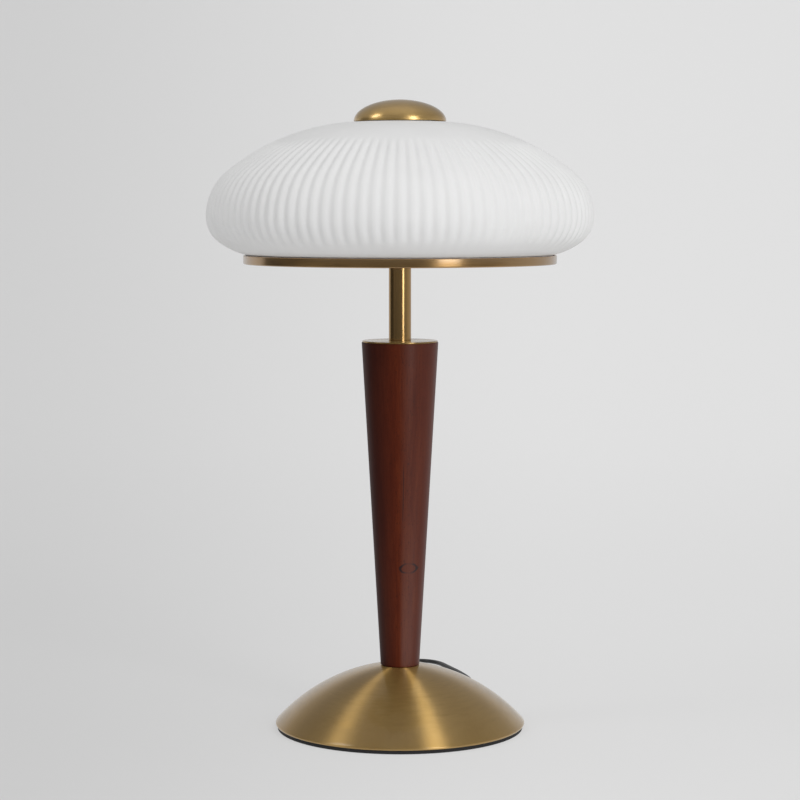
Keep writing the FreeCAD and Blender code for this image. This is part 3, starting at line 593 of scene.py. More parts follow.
wood = Paint("lacquered mahogany", roughness=0.50, specular_ior_level=0.12, coat_roughness=0.27)
x, y, z = wood.where.parts()
swirl = wood.noise((34.0, 34.0, 3.2), 3.0, 0.55)
figure = wood.noise((150.0, 150.0, 11.0), 4.0, 0.6)
grain = wood.noise((900.0, 900.0, 24.0), 3.0, 0.6)
flecks = wood.noise((1500.0, 1500.0, 420.0))
stain_and_shade = wood.ramp(
    swirl * 0.45 + figure * 0.30 + grain * 0.25,
    (0.36, (0.066, 0.0085, 0.0018)), (0.48, (0.095, 0.0135, 0.0028)),
    (0.58, (0.122, 0.0205, 0.0042)), (0.68, (0.150, 0.0310, 0.0065)))
stain_and_shade = wood.blend(flecks.over(0.60, 0.70) * 0.6, stain_and_shade, (0.040, 0.0075, 0.003))
# The stain is painted darker towards the column's left, as painted shade, and a little duller
# at its far right. The lacquer shines most just right of the front, and hardly at all on the left.
aside = x / ((z - column_low) * taper + column_foot)
stain_and_shade = wood.blend(aside.over(-0.85, 0.0, 0.66, 0.0), stain_and_shade, (0.018, 0.0045, 0.004))
stain_and_shade = wood.blend(aside.over(0.45, 0.85, 0.0, 0.60), stain_and_shade, (0.086, 0.0170, 0.0085))
# The knot is a dark oval ring, painted fainter at its top and bottom as a painted highlight where
# the lacquer's sheen crosses it. Above it runs a check, a fine crack that came as the wood dried.
wobble = (wood.noise(300.0) - 0.5) * 0.35
across = (x - knot_place[0]) / knot_half[0]
above = (z - knot_place[1]) / knot_half[1]
ring_run = ((across ** 2.0 + above ** 2.0) ** 0.5 - 1.0 + wobble).size()
in_front = y < 0.0
knot = (1.0 - ring_run.over(0.06, 0.24)) * across.size().over(0.20, 0.75, 0.3, 1.0) * in_front
check_run = (x - check_place[0] - (z - check_place[1]) * check_slant + wobble * 0.0004).size()
check = (1.0 - check_run.over(0.0001, 0.0004)) * in_front
check = check * z.over(0.160, 0.172) * (1.0 - z.over(0.202, 0.214))
marks = knot * 0.85 + check * 0.75
wood.tint(marks.math("MINIMUM", marks, 1.0), stain_and_shade, (0.012, 0.007, 0.009))
wood.set("Coat Weight", aside.over(-0.05, 0.18, 0.05, 1.0) * aside.over(0.45, 0.75, 1.0, 0.35))
wood.bump(grain * 0.5 + flecks * 0.5, 0.06, 0.0003)
dress(column, wood, "lacquered_mahogany", "stand", "wood_column")


# Cap and stem tube: a thin disc turned from brass, with a spigot that centres the tube on
# the column. The tube is drawn brass, polished bright, and the pipe inside clamps them both.
cap_low = column_high
cap_high = 0.3045
cap_radius = 0.0294
cap_hole = 0.0053
spigot_radius = 0.00765
spigot_height = 0.003
tube_radius = 0.0087
tube_wall = 0.001
tube_high = 0.364

cap = turn_on_lathe("column_cap_disc", [
    (cap_hole, cap_low), (cap_radius - 0.0002, cap_low), (cap_radius, cap_low + 0.0002),
    (cap_radius, cap_high - 0.0003), (cap_radius - 0.0003, cap_high),
    (spigot_radius, cap_high), (spigot_radius, cap_high + spigot_height),
    (cap_hole, cap_high + spigot_height),
], 128)
dress(cap, spun_brass, "spun_brass", "stand", "column_cap")

tube = turn_on_lathe("stem_tube_polished", [
    (tube_radius - tube_wall, cap_high), (tube_radius - 0.0002, cap_high),
    (tube_radius, cap_high + 0.0002), (tube_radius, tube_high),
    (tube_radius - tube_wall, tube_high),
], 96)
polished = Paint("polished brass", metallic=1.0, coat_weight=0.5, coat_roughness=0.05)
fine = polished.noise((260.0, 260.0, 3600.0), 3.0)
polished.tint(polished.noise(70.0), (0.49, 0.290, 0.100), (0.55, 0.340, 0.125))
polished.set("Roughness", fine.over(0.2, 0.8, 0.14, 0.20))
polished.bump(fine, 0.06, 0.0002)
dress(tube, polished, "polished_brass", "stand", "stem_tube")


# Shade ring: rolled from brass strip with a ledge inside that the glass sits on and a bead
# round the top that closes in on the glass, then brushed along its length and lacquered.
# Its three-armed spider is stamped from the same brass.
ring_radius = 0.1215
ring_low = 0.364
ring_high = 0.3708
ring_round = 0.0012
ring_wall = 0.0018
ring_bead = 0.1190
ledge_high = 0.3658
ledge_inner = 0.112

ring_edge = (ring_radius - ring_round, ring_low + ring_round)
ring_piece = turn_on_lathe("shade_ring_brushed", [
    (ledge_inner, ring_low), (ring_radius - ring_round, ring_low),
    *arc(ring_edge, ring_round, -90.0, 0.0, 6),
    (ring_radius, ring_high - 0.0005), (ring_radius - 0.0004, ring_high),
    (ring_bead + 0.0003, ring_high), (ring_bead, ring_high - 0.0003),
    (ring_bead, ring_high - 0.0006), (ring_radius - ring_wall, ring_high - 0.0014),
    (ring_radius - ring_wall, ledge_high),
    (ledge_inner, ledge_high),
], 256)
strip_brass = brushed_brass("brushed brass strip", (0.47, 0.275, 0.100), (0.54, 0.325, 0.125),
                            streak=6.0, spread=0.9, roughness=0.34, lacquer=1.70)
dress(ring_piece, strip_brass, "spun_brass", "stand", "shade_ring")

plain_brass = Paint("satin brass", metallic=1.0)
scuffs = plain_brass.noise((140.0, 900.0, 900.0), 3.0)
plain_brass.tint(scuffs, (0.47, 0.335, 0.16), (0.58, 0.43, 0.22))
plain_brass.set("Roughness", scuffs.over(0.25, 0.75, 0.28, 0.42))
plain_brass.bump(scuffs, 0.08, 0.0002)
finish(plain_brass, "shade_spider", "cluster_body", "cluster_cover", "finial_nut",
       "switch_contacts", "holder_shell_left", "holder_shell_right",
       "holder_contact_left", "holder_contact_right")

soft_vinyl = Paint("clear soft vinyl", roughness=0.35)
soft_vinyl.tint(soft_vinyl.noise(120.0), (0.62, 0.62, 0.59), (0.74, 0.74, 0.71))
soft_vinyl.bump(soft_vinyl.noise(1500.0), 0.1, 0.0002)
finish(soft_vinyl, "ring_gasket", "finial_gasket")


# Shade: opal glass blown into a ribbed mould and acid-etched to a soft matte outside. Its
# hundred flutes fade out on the crown and under the belly, and the inside is smooth.
flute_count = 100
flute_depth = 0.0012
flute_foot = 0.3751
flute_head = 0.094
flute_fade = 0.016
steps_per_flute = 8
shade_wall = 0.004
lip_low = 0.3666
lip_radius = 0.1186
lip_round = 0.0005
widest = 0.4008
shoulder = ((0.105, widest), 0.045, 0.0, 51.0)
crown = ((0.026335, 0.303657), 0.170, 51.0, 90.0)
belly = ((0.125, widest), 0.025, -55.0, 0.0)
underside = ((0.104924, 0.429470), 0.060, -76.825, -55.0)
shade_hole = 0.0062


def shade_side(offset, foot_turn, rows):
    """Points up the shade's outside, or its inside with the wall as offset."""
    (under, under_radius, _, under_end) = underside
    points = arc(under, under_radius - offset, foot_turn - 1.0, foot_turn, 1)
    points += arc(under, under_radius - offset, foot_turn, under_end, rows[0])
    for (centre, radius, start, end), steps in zip((belly, shoulder, crown), rows[1:]):
        points += arc(centre, radius - offset, start, end, steps)
    return points


inside_foot = -math.degrees(math.acos(
    (lip_radius - underside[0][0]) / (underside[1] - shade_wall)))
outside = shade_side(0.0, underside[2], (6, 10, 14, 20))
inside = shade_side(shade_wall, inside_foot, (3, 6, 8, 9))
lip_inner = lip_radius - shade_wall
shade = turn_on_lathe("fluted_glass_shade", [
    (lip_radius, lip_low + lip_round), *outside, (shade_hole, outside[-1][1]),
    (shade_hole, inside[-1][1]), *reversed(inside[1:]),
    (lip_inner, inside[0][1]), (lip_inner, lip_low + lip_round),
    (lip_inner + lip_round, lip_low), (lip_radius - lip_round, lip_low),
], steps_per_flute * flute_count)
normals = [point.normal.copy() for point in shade.data.vertices]
for point, normal in zip(shade.data.vertices, normals):
    x, y, z = point.co
    radius = math.hypot(x, y)
    on_outside = normal.x * x + normal.y * y > 0.0 or z > inside[-1][1] + 0.001
    run = z - flute_foot if z < widest else radius - flute_head
    share = min(max(run / flute_fade, 0.0), 1.0)
    if on_outside and share > 0.0:
        wave = 0.5 - 0.5 * math.cos(flute_count * math.atan2(y, x))
        inset = flute_depth * share * share * (3.0 - 2.0 * share) * wave ** 1.4
        outward = Vector((x / radius, y / radius, 0.0)) * math.hypot(normal.x, normal.y)
        outward.z = normal.z
        point.co = point.co - outward * inset
smooth(shade, 50.0)

opal = Paint("etched opal glass", specular_ior_level=0.35)
etch = opal.noise(2600.0, 3.0, 0.7)
opal.tint(opal.noise(26.0, 3.0).over(0.3, 0.7), (0.850, 0.850, 0.848), (0.872, 0.872, 0.870))
opal.set("Roughness", etch.over(0.3, 0.7, 0.46, 0.60))
opal.bump(etch, 0.10, 0.0002)
dress(shade, opal, "opal_shade_glass", "shade", "glass_shade")


# Finial: a shallow brass dome, pressed and brushed in circles, crimped round a plate with
# a threaded boss, so that it screws down on the rod and clamps the glass.
finial_radius = 0.0358
finial_low = 0.473957
finial_rise = 0.0167
finial_wall = 0.0012
finial_edge = 0.0002
finial_steps = 28


def dome_line(radius, rise, steps):
    """Quarter of an ellipse from the rim up to the middle, as (radius, height)."""
    turns = [math.pi / 2 * k / steps for k in range(1, steps)]
    return [(radius * math.cos(turn), finial_low + rise * math.sin(turn)) for turn in turns]


inner_radius = finial_radius - finial_wall
inner_rise = finial_rise - finial_wall
finial = turn_on_lathe("finial_cap", [
    (inner_radius, finial_low), (finial_radius - finial_edge, finial_low),
    (finial_radius, finial_low + finial_edge),
    *dome_line(finial_radius, finial_rise, finial_steps),
    (0.0, finial_low + finial_rise), (0.0, finial_low + inner_rise),
    *reversed(dome_line(inner_radius, inner_rise, finial_steps // 2)),
], 160)
cap_brass = brushed_brass("brushed brass cap", (0.68, 0.44, 0.15), (0.76, 0.51, 0.19),
                          streak=4.0, spread=0.5, roughness=0.33, lacquer=1.50)
dress(finial, cap_brass, "spun_brass", "finial", "finial_dome")


# Lampholders: moulded black phenolic, screwed on nipples at the two sides of the cluster.
# A skirt with a knurled lip holds the brass screw shell for a small-screw bulb.
light_axis = 0.3958
holder_low = 0.017
holder_length = 0.038
holder_radius = 0.013
holder_waist = 0.0118
holder_mouth = 0.0102
holder_back = 0.009
holder_round = 0.0006
groove_low = 0.0042
groove_depth = 0.0005
shell_outer = 0.00755
shell_end = 0.04825
nipple_bore = 0.0034
knurl_length = 0.003
knurl_depth = 0.0003
knurl_count = 32


def on_both_sides(first, name, paint, slot, body, node):
    """Lays a piece that stands on Z out along -X and +X, at the height of the bulbs."""
    for side, hand in ((-1, "left"), (1, "right")):
        piece = another(first, name + hand)
        piece.data.transform(Matrix.Translation((0.0, 0.0, light_axis))
                             @ Matrix.Rotation(math.pi / 2 * side, 4, "Y"))
        dress(piece, paint, slot, body.format(hand), node + hand)
    bpy.data.objects.remove(first)


def moulded(name, dark, light, roughness, grain, depth):
    """Plastic or rubber with the fine spark-eroded grain of its mould."""
    paint = Paint(name)
    paint.tint(paint.noise(85.0, 3.0).over(0.3, 0.7), dark, light)
    pits = paint.noise(grain, 3.0, 0.65)
    paint.set("Roughness", pits.over(0.3, 0.7, roughness - 0.07, roughness + 0.07))
    paint.bump(pits, depth, 0.0002)
    return paint


holder_high = holder_low + holder_length
knurl_low = holder_high - knurl_length
cavity_low = holder_low + holder_back
groove_foot = holder_low + groove_low
groove_radius = holder_radius - groove_depth
holder_neck = holder_waist - 0.0004
first_holder = turn_on_lathe("first_holder", [
    (nipple_bore, holder_low), (holder_radius - holder_round, holder_low),
    (holder_radius, holder_low + holder_round),
    (holder_radius, groove_foot), (groove_radius, groove_foot + 0.0005),
    (groove_radius, groove_foot + 0.0015), (holder_radius, groove_foot + 0.0020),
    (holder_radius, holder_low + holder_length / 3),
    (holder_waist, holder_low + holder_length / 2),
    (holder_waist, knurl_low - 0.0012), (holder_neck, knurl_low - 0.0008),
    (holder_neck, knurl_low - 0.0004), (holder_radius - 0.0004, knurl_low),
    (holder_radius, knurl_low + 0.0004), (holder_radius, holder_high - 0.0005),
    (holder_radius - 0.0005, holder_high),
    (holder_mouth + 0.0004, holder_high), (holder_mouth, holder_high - 0.0004),
    (holder_mouth, shell_end), (shell_outer, shell_end),
    (shell_outer, cavity_low), (nipple_bore, cavity_low),
], 4 * knurl_count)
for point in first_holder.data.vertices:
    x, y, z = point.co
    if math.hypot(x, y) > holder_radius - 0.00005 and z > knurl_low + 0.0002:
        if math.cos(knurl_count * math.atan2(y, x)) < 0.1:
            point.co.xy *= 1.0 - knurl_depth / holder_radius
phenolic = moulded("black phenolic", (0.016, 0.015, 0.014), (0.028, 0.026, 0.024),
                   roughness=0.32, grain=1800.0, depth=0.06)
on_both_sides(first_holder, "phenolic_holder_", phenolic, "black_phenolic", "stand",
              "lampholder_")

silicone = moulded("lead silicone", (0.52, 0.50, 0.46), (0.64, 0.62, 0.57),
                   roughness=0.5, grain=1200.0, depth=0.1)
finish(silicone, "holder_leads")


# Bulbs: two small frosted globes on white plastic necks, each with a rolled and threaded
# nickel cap and a solder tip. The thread's pitch is the small screw's, nine to the inch.
screw_pitch = 0.0254 / 9
screw_depth = 0.0005
screw_radius = 0.00695
tip_low = 0.0275
tip_high = 0.0302
tip_radius = 0.0024
nickel_low = 0.03025
nickel_high = 0.04725
nickel_round = 0.0012
nickel_rows = 68
neck_low_radius = screw_radius - 0.0002
neck_high = 0.06925
neck_radius = 0.015
neck_hollow = 0.0014
neck_rows = 19
globe_centre = (0.0, 0.08602)
globe_radius = 0.0225
globe_wall = 0.001
globe_foot = -math.degrees(math.acos(neck_radius / globe_radius))

first_tip = turn_on_lathe("first_tip", [
    (0.0, tip_low), (0.0007, tip_low), (0.0012, tip_low + 0.0003), (0.0015, tip_low + 0.0008),
    (0.0017, tip_low + 0.0016), (tip_radius - 0.0001, tip_high - 0.0004), (tip_radius, tip_high),
    (0.0, tip_high),
], 32)
solder = Paint("solder", metallic=1.0)
beads = solder.noise(900.0)
solder.tint(beads, (0.42, 0.42, 0.43), (0.62, 0.62, 0.63))
solder.set("Roughness", beads.over(0.3, 0.7, 0.30, 0.50))
solder.bump(beads, 0.5, 0.0003)
on_both_sides(first_tip, "finished_contact_", solder, "bulb_solder", "bulb_tip_{}",
              "bulb_contact_")

nickel_foot = nickel_low + nickel_round
nickel_section = [(0.0, nickel_low), (0.0045, nickel_low)]
for k in range(nickel_rows + 1):
    nickel_section.append(
        (screw_radius, nickel_foot + (nickel_high - nickel_foot) * k / nickel_rows))
first_nickel = turn_on_lathe("first_nickel", [*nickel_section, (0.0, nickel_high)], 64)
for point in first_nickel.data.vertices:
    x, y, z = point.co
    if math.hypot(x, y) > screw_radius - 0.0001:
        ends = min((z - nickel_low - 0.001) / 0.001, (nickel_high - z - 0.0015) / 0.001)
        share = min(max(ends, 0.0), 1.0)
        wave = 0.5 - 0.5 * math.cos(2 * math.pi * z / screw_pitch - math.atan2(y, x))
        point.co.xy *= 1.0 - screw_depth * share * wave / screw_radius
first_nickel.data.update()
nickel = Paint("nickel plate", metallic=1.0)
nickel.tint(nickel.noise(400.0, 3.0), (0.60, 0.585, 0.55), (0.72, 0.705, 0.67))
nickel.set("Roughness", nickel.noise(1500.0).over(0.3, 0.7, 0.20, 0.34))
nickel.bump(nickel.noise(2200.0), 0.05, 0.0002)
on_both_sides(first_nickel, "finished_cap_", nickel, "nickel_cap", "bulb_{}", "bulb_cap_")

neck_section = [(0.0, nickel_high), (neck_low_radius, nickel_high)]
for k in range(1, neck_rows - 1):
    share = k / neck_rows
    neck_section.append((
        neck_low_radius + (neck_radius - neck_low_radius) * share
        - 4.0 * neck_hollow * share * (1.0 - share),
        nickel_high + (neck_high - nickel_high) * share))
first_neck = turn_on_lathe("first_neck", [
    *neck_section[:-1], (neck_radius - 0.0009, neck_high - 0.0020),
    (neck_radius, neck_high - 0.0017), (neck_radius, neck_high - 0.0002),
    (neck_radius - 0.0002, neck_high), (0.0, neck_high),
], 96)
white_plastic = moulded("white bulb plastic", (0.74, 0.74, 0.72), (0.79, 0.79, 0.77),
                        roughness=0.42, grain=1500.0, depth=0.05)
on_both_sides(first_neck, "finished_base_", white_plastic, "white_bulb_plastic", "bulb_{}",
              "bulb_base_")

first_globe = turn_on_lathe("first_globe", [
    (globe_radius * math.cos(math.radians(globe_foot)), neck_high),
    *arc(globe_centre, globe_radius, globe_foot, 90.0, 36),
    *reversed(arc(globe_centre, globe_radius - globe_wall, globe_foot + 2.0, 90.0, 24)),
    (neck_radius - globe_wall, neck_high),
], 72)
frosted = Paint("frosted bulb glass")
frost = frosted.noise(2400.0)
frosted.tint(frosted.noise(60.0), (0.82, 0.82, 0.80), (0.87, 0.87, 0.86))
frosted.set("Roughness", frost.over(0.3, 0.7, 0.28, 0.42))
frosted.bump(frost, 0.06, 0.0002)
on_both_sides(first_globe, "finished_globe_", frosted, "opal_bulb_glass", "bulb_{}",
              "bulb_globe_")


# Gland: a strain relief of soft black vinyl moulded on the cord, with a flange that seats
# against the dome and a ribbed tail that tapers down to the cord.
gland_turn = math.radians(65.0)
gland_height = 0.0092
collar_low, collar_high, collar_radius = 0.081, 0.0835, 0.0048
flange_low, flange_high, flange_radius = 0.0872, 0.0988, 0.0054
flange_round = 0.0006
gland_neck = 0.0038
gland_end = 0.120
gland_end_radius = 0.0030
plain_end = 0.0022
rib_count = 5
rib_depth = 0.0007

gland_section = [
    (0.0, collar_low), (collar_radius, collar_low), (collar_radius, collar_high),
    (gland_neck, collar_high), (gland_neck, flange_low), (flange_radius, flange_low),
    (flange_radius, flange_high - flange_round), (flange_radius - flange_round, flange_high),
]
rib_pitch = (gland_end - flange_high - plain_end) / rib_count
for k in range(rib_count):
    low = flange_high + rib_pitch * k
    rib = gland_neck + (gland_end_radius - gland_neck) * k / rib_count
    gland_section += [
        (rib - rib_depth, low + 0.0001), (rib - rib_depth, low + 0.0011),
        (rib - 0.0002, low + 0.0013), (rib, low + 0.0017),
        (rib - 0.0001, low + rib_pitch - 0.0001),
    ]
gland = turn_on_lathe("ribbed_gland", [
    *gland_section, (gland_end_radius, gland_end - 0.0006),
    (gland_end_radius - 0.0005, gland_end), (0.0, gland_end)], 48)
gland.data.transform(
    Matrix.Translation((0.0, 0.0, gland_height)) @ Matrix.Rotation(gland_turn, 4, "Z")
    @ Matrix.Rotation(math.pi / 2, 4, "Y"))
vinyl = moulded("black cord vinyl", (0.014, 0.014, 0.015), (0.022, 0.022, 0.023),
                roughness=0.42, grain=1400.0, depth=0.08)
dress(gland, vinyl, "black_cord_vinyl", "stand", "cord_gland")
finish(vinyl, "lead_in_stem")


# Cord: flat two-core mains cord in black vinyl, 5 by 3 mm. It leaves the foot through the
# gland, lies in an arch behind it and comes back to the switch; the spare length is coiled.
cord_width = 0.005
cord_height = 0.003
groove_share = 0.72
section_steps = 24


def cord_line(name, points):
    """A smooth line with the given points as its control points, and points along it."""
    curve = bpy.data.curves.new(name, "CURVE")
    curve.dimensions = "3D"
    spline = curve.splines.new("NURBS")
    spline.points.add(len(points) - 1)
    for place, point in zip(spline.points, points):
        place.co = (*point, 1.0)
    spline.order_u = 3
    spline.use_endpoint_u = True
    spline.resolution_u = 8
    line = bpy.data.objects.new(name, curve)
    bpy.context.collection.objects.link(line)
    bpy.context.view_layer.update()
    mesh = bpy.data.meshes.new_from_object(line)
    path = [vertex.co.copy() for vertex in mesh.vertices]
    bpy.data.meshes.remove(mesh)
    bpy.data.objects.remove(line)
    bpy.data.curves.remove(curve)
    return path


def flat_cord(name, path):
    """Sheath of two cores side by side, with a shallow groove between them."""
    core = cord_height / 2
    apart = (cord_width - cord_height) / 2
    section = []
    for k in range(section_steps):
        turn = 2 * math.pi * k / section_steps
        if k % (section_steps // 2) == section_steps // 4:
            section.append((0.0, groove_share * core * math.sin(turn)))
        else:
            side = math.copysign(apart, math.cos(turn))
            section.append((side + core * math.cos(turn), core * math.sin(turn)))
    points = []
    for i, place in enumerate(path):
        ahead = path[min(i + 1, len(path) - 1)] - path[max(i - 1, 0)]
        across = Vector((0.0, 0.0, 1.0)).cross(ahead).normalized()
        up = ahead.cross(across).normalized()
        points += [place + across * a + up * b for a, b in section]
    faces = []
    for i in range(len(path) - 1):
        for k in range(section_steps):
            a = i * section_steps + k
            b = i * section_steps + (k + 1) % section_steps
            faces.append((a, b, b + section_steps, a + section_steps))
    faces.append(tuple(reversed(range(section_steps))))
    faces.append(tuple(range(len(points) - section_steps, len(points))))
    mesh = bpy.data.meshes.new(name)
    mesh.from_pydata(points, [], faces)
    mesh.update()
    piece = bpy.data.objects.new(name, mesh)
    bpy.context.collection.objects.link(piece)
    pick(piece)
    bpy.ops.object.mode_set(mode="EDIT")
    close_edit()
    smooth(piece, 40.0)
    return piece


lamp_route = [
    (0.050714, 0.108757, 0.0092),
    (0.057053, 0.122352, 0.0092),
    (0.0610, 0.1410, 0.0042),
    (0.0618, 0.1600, 0.0015),
    (0.0586, 0.1810, 0.0015),
    (0.0514, 0.2060, 0.0015),
    (0.0420, 0.2300, 0.0015),
    (0.0345, 0.2505, 0.0015),
    (0.0200, 0.2605, 0.0015),
    (-0.0020, 0.2545, 0.0015),
    (-0.0210, 0.2345, 0.0015),
    (-0.0365, 0.2125, 0.0015),
    (-0.0490, 0.1900, 0.0015),
    (-0.0570, 0.1670, 0.0015),
    (-0.0605, 0.1440, 0.0018),
    (-0.0590, 0.1240, 0.0034),
    (-0.0460, 0.1115, 0.0040),
    (-0.0340, 0.1115, 0.0040),
]
coil_centre = (0.0, 0.187)
coil_low = 0.0021
coil_high = 0.0055
coil_out = 0.035
coil_in = 0.020
turn_points = 12
swell = 1.0 / 0.9665


def coil_turns():
    """Three turns inwards on the floor, one up at the middle, and three and a half on top.

    The points stand out by the swell, because the smooth line runs inside them.
    """
    points = []
    for k in range(int(7.5 * turn_points) + 1):
        turns = k / turn_points
        if turns <= 3.0:
            radius = coil_out + (coil_in - coil_out) * turns / 3.0
            height = coil_low
        elif turns <= 4.0:
            radius = coil_in
            rise = turns - 3.0
            height = coil_low + (coil_high - coil_low) * rise * rise * (3.0 - 2.0 * rise)
        else:
            radius = coil_in + (coil_out - coil_in) * min((turns - 4.0) / 3.0, 1.0)
            height = coil_high
        angle = 2 * math.pi * turns
        points.append((coil_centre[0] + radius * swell * math.cos(angle),
                       coil_centre[1] + radius * swell * math.sin(angle), height))
    return points


tail_route = [
    (0.0220, 0.1115, 0.0040),
    (0.0340, 0.1115, 0.0040),
    (0.0480, 0.1210, 0.0023),
    (0.0505, 0.1390, 0.0019),
    (0.0465, 0.1575, 0.0021),
    (0.0385, 0.1730, 0.0021),
    *coil_turns(),
    (-0.0375, 0.1700, 0.0055),
    (-0.0385, 0.1500, 0.0063),
    (-0.0260, 0.1355, 0.0070),
    (-0.0140, 0.1355, 0.0070),
]

lamp_path = cord_line("lamp_cord_line", lamp_route)
lamp_cord = flat_cord("cord_to_switch", lamp_path)
dress(lamp_cord, vinyl, "black_cord_vinyl", "stand", "cord_lamp_side")
tail_path = cord_line("tail_cord_line", tail_route)
tail_cord = flat_cord("cord_to_plug", tail_path)
dress(tail_cord, vinyl, "black_cord_vinyl", "stand",
      "cord_switch_side", "cord_coil", "cord_plug_side")


# Tie: a strap of woven black hook-and-loop tape that holds the turns of the spare cord
# together. It goes once round them, and its end is pressed down on its own top.
tie_width = 0.007
tie_thickness = 0.0006
tie_near = 0.1489
tie_far = 0.1707
tie_low = tie_thickness / 2
tie_top = 0.0076
tie_corner = 0.0016
tie_edge = 0.0002
thread_waves = 9000.0


def strap(name, points):
    """A strap with round edges, laid along (y, z) points in the middle of its X."""
    piece = trace(name, [(-tie_width / 2, y, z) for y, z in points])
    pull((tie_width, 0.0, 0.0))
    close_edit()
    wall = piece.modifiers.new("wall", "SOLIDIFY")
    wall.thickness = tie_thickness
    wall.offset = 0.0
    soft = piece.modifiers.new("soft", "BEVEL")
    soft.width = tie_edge
    soft.segments = 2
    bpy.ops.object.modifier_apply(modifier="wall")
    bpy.ops.object.modifier_apply(modifier="soft")
    smooth(piece, 40.0)
    return piece


loop = []
corners = (
    (tie_far - tie_corner, tie_low + tie_corner), (tie_far - tie_corner, tie_top - tie_corner),
    (tie_near + tie_corner, tie_top - tie_corner), (tie_near + tie_corner, tie_low + tie_corner))
for k, place in enumerate(corners):
    start = 90.0 * (k - 1)
    loop += arc(place, tie_corner, start - 0.1, start + 90.0, 6)
lap_high = tie_top + tie_thickness
tie = join("coil_tie", strap("loop_strap", [*loop, loop[0]]), strap("lap_strap", [
    (tie_near + 0.0022, lap_high), (tie_near + 0.0080, lap_high),
    (tie_far - 0.0070, lap_high), (tie_far - 0.0022, lap_high + 0.0003)]))
woven = Paint("woven strap", roughness=0.85)
x, y, z = woven.where.parts()
threads = (x * thread_waves).wave() * ((y + z) * thread_waves).wave()
woven.tint(threads.over(-0.6, 0.6), (0.010, 0.010, 0.011), (0.030, 0.030, 0.032))
woven.bump(threads, 0.5, 0.0003)
dress(tie, woven, "black_tie", "stand", "cord_tie")


# Inline switch: two moulded half cases held by screws from below, with grip grooves across
# both ends of the upper one and a pocket for the rocker.
switch_x, switch_y = -0.006, 0.1115
switch_half = (0.028, 0.010)
switch_seam = 0.007
switch_top = 0.014
switch_corner = 0.004
switch_round = 0.0015
foot_round = 0.0005
seam_round = 0.00025
slot_half = (0.0077, 0.0052)
slot_floor = 0.0008
grip_first = 0.0135
grip_pitch = 0.0022
grip_half = (0.0004, 0.0075)
grip_depth = 0.0005
above_top = switch_top + 0.001
switch_screws = ((-0.0205, -0.0061), (0.0205, 0.0061))
switch_screw_hole = 0.0024
screw_hole_depth = 0.0016
screw_head_rise = 0.0004


def soften(piece, width, segments, chosen):
    """Rounds the edges whose two ends a test chooses."""
    pick(piece)
    bpy.ops.object.mode_set(mode="EDIT")
    bpy.ops.mesh.select_mode(type="EDGE")
    bpy.ops.mesh.select_all(action="DESELECT")
    bpy.ops.object.mode_set(mode="OBJECT")
    points = piece.data.vertices
    for edge in piece.data.edges:
        edge.select = chosen(points[edge.vertices[0]].co, points[edge.vertices[1]].co)
    bpy.ops.object.mode_set(mode="EDIT")
    bpy.ops.mesh.bevel(offset=width, segments=segments, affect="EDGES")
    bpy.ops.mesh.select_mode(type="VERT")
    bpy.ops.object.mode_set(mode="OBJECT")
    smooth(piece, 30.0)


def upright(a, b):
    return abs(a.z - b.z) > 0.001 and (a.xy - b.xy).length < 0.0005


def switch_block(name, half, low, high):
    """A block over the switch's middle, between two heights."""
    return block(name, (switch_x - half[0], switch_y - half[1], low),
                 (switch_x + half[0], switch_y + half[1], high))


def drill(piece, radius, depth, place, turn=0.0):
    """Bores a hole through a piece at a place, upright or turned about X."""
    bpy.ops.object.select_all(action="DESELECT")
    bpy.ops.mesh.primitive_cylinder_add(
        vertices=32, radius=radius, depth=depth, location=place, rotation=(turn, 0.0, 0.0))
    carve(piece, bpy.context.object)


lower_case = switch_block("switch_lower_half", switch_half, 0.0, switch_seam)
soften(lower_case, switch_corner, 8, upright)
soften(lower_case, foot_round, 2, lambda a, b: max(a.z, b.z) < 1e-6)
soften(lower_case, seam_round, 1, lambda a, b: min(a.z, b.z) > switch_seam - 1e-6)
for x, y in switch_screws:
    drill(lower_case, switch_screw_hole, 2 * screw_hole_depth, (switch_x + x, switch_y + y, 0.0))
smooth(lower_case, 30.0)

upper_case = switch_block("switch_upper_half", switch_half, switch_seam, switch_top)
soften(upper_case, switch_corner, 8, upright)
soften(upper_case, switch_round, 6, lambda a, b: min(a.z, b.z) > switch_top - 1e-6)
soften(upper_case, seam_round, 1, lambda a, b: max(a.z, b.z) < switch_seam + 1e-6)
carve(upper_case, switch_block("pocket", slot_half, switch_seam + slot_floor, above_top))
for side in (-1, 1):
    for k in range(5):
        x = switch_x + side * (grip_first + grip_pitch * k)
        carve(upper_case, block(
            "groove", (x - grip_half[0], switch_y - grip_half[1], switch_top - grip_depth),
            (x + grip_half[0], switch_y + grip_half[1], above_top)))
smooth(upper_case, 30.0)

case_screws = repeat(
    "switch_case_screws",
    cross_head_screw(head=0.0021, height=0.0012, shank=0.0012, length=0.0095, recess=0.0003),
    [(switch_x + x, switch_y + y, screw_head_rise) for x, y in switch_screws])

case_plastic = moulded("black switch plastic", (0.015, 0.015, 0.016), (0.023, 0.023, 0.024),
                       roughness=0.48, grain=1500.0, depth=0.16)
dress(lower_case, case_plastic, "black_switch_plastic", "stand", "switch_case_lower")
dress(upper_case, case_plastic, "black_switch_plastic", "stand", "switch_case_upper")
dress(case_screws, zinc, "zinc_steel", "stand", "switch_screws")


# Rocker: one lever moulded in black plastic, hollow on top for the finger and marked with a
# ring and a bar. It tips in the upper case on two pins, and at rest its bar end is down.
rocker_half = 0.0068
rocker_width = 0.0096
rocker_low = 0.0091
rocker_ends = 0.0152
rocker_hollow = 0.0011
rocker_round = 0.0004
pivot_height = 0.0108
rocker_tilt = math.radians(8.0)
mark_low = 0.0132
mark_aside = 0.0040
mark_radius = 0.0013
mark_line = (0.00022, 0.00032)
bar_half = (0.0014, 0.0016)


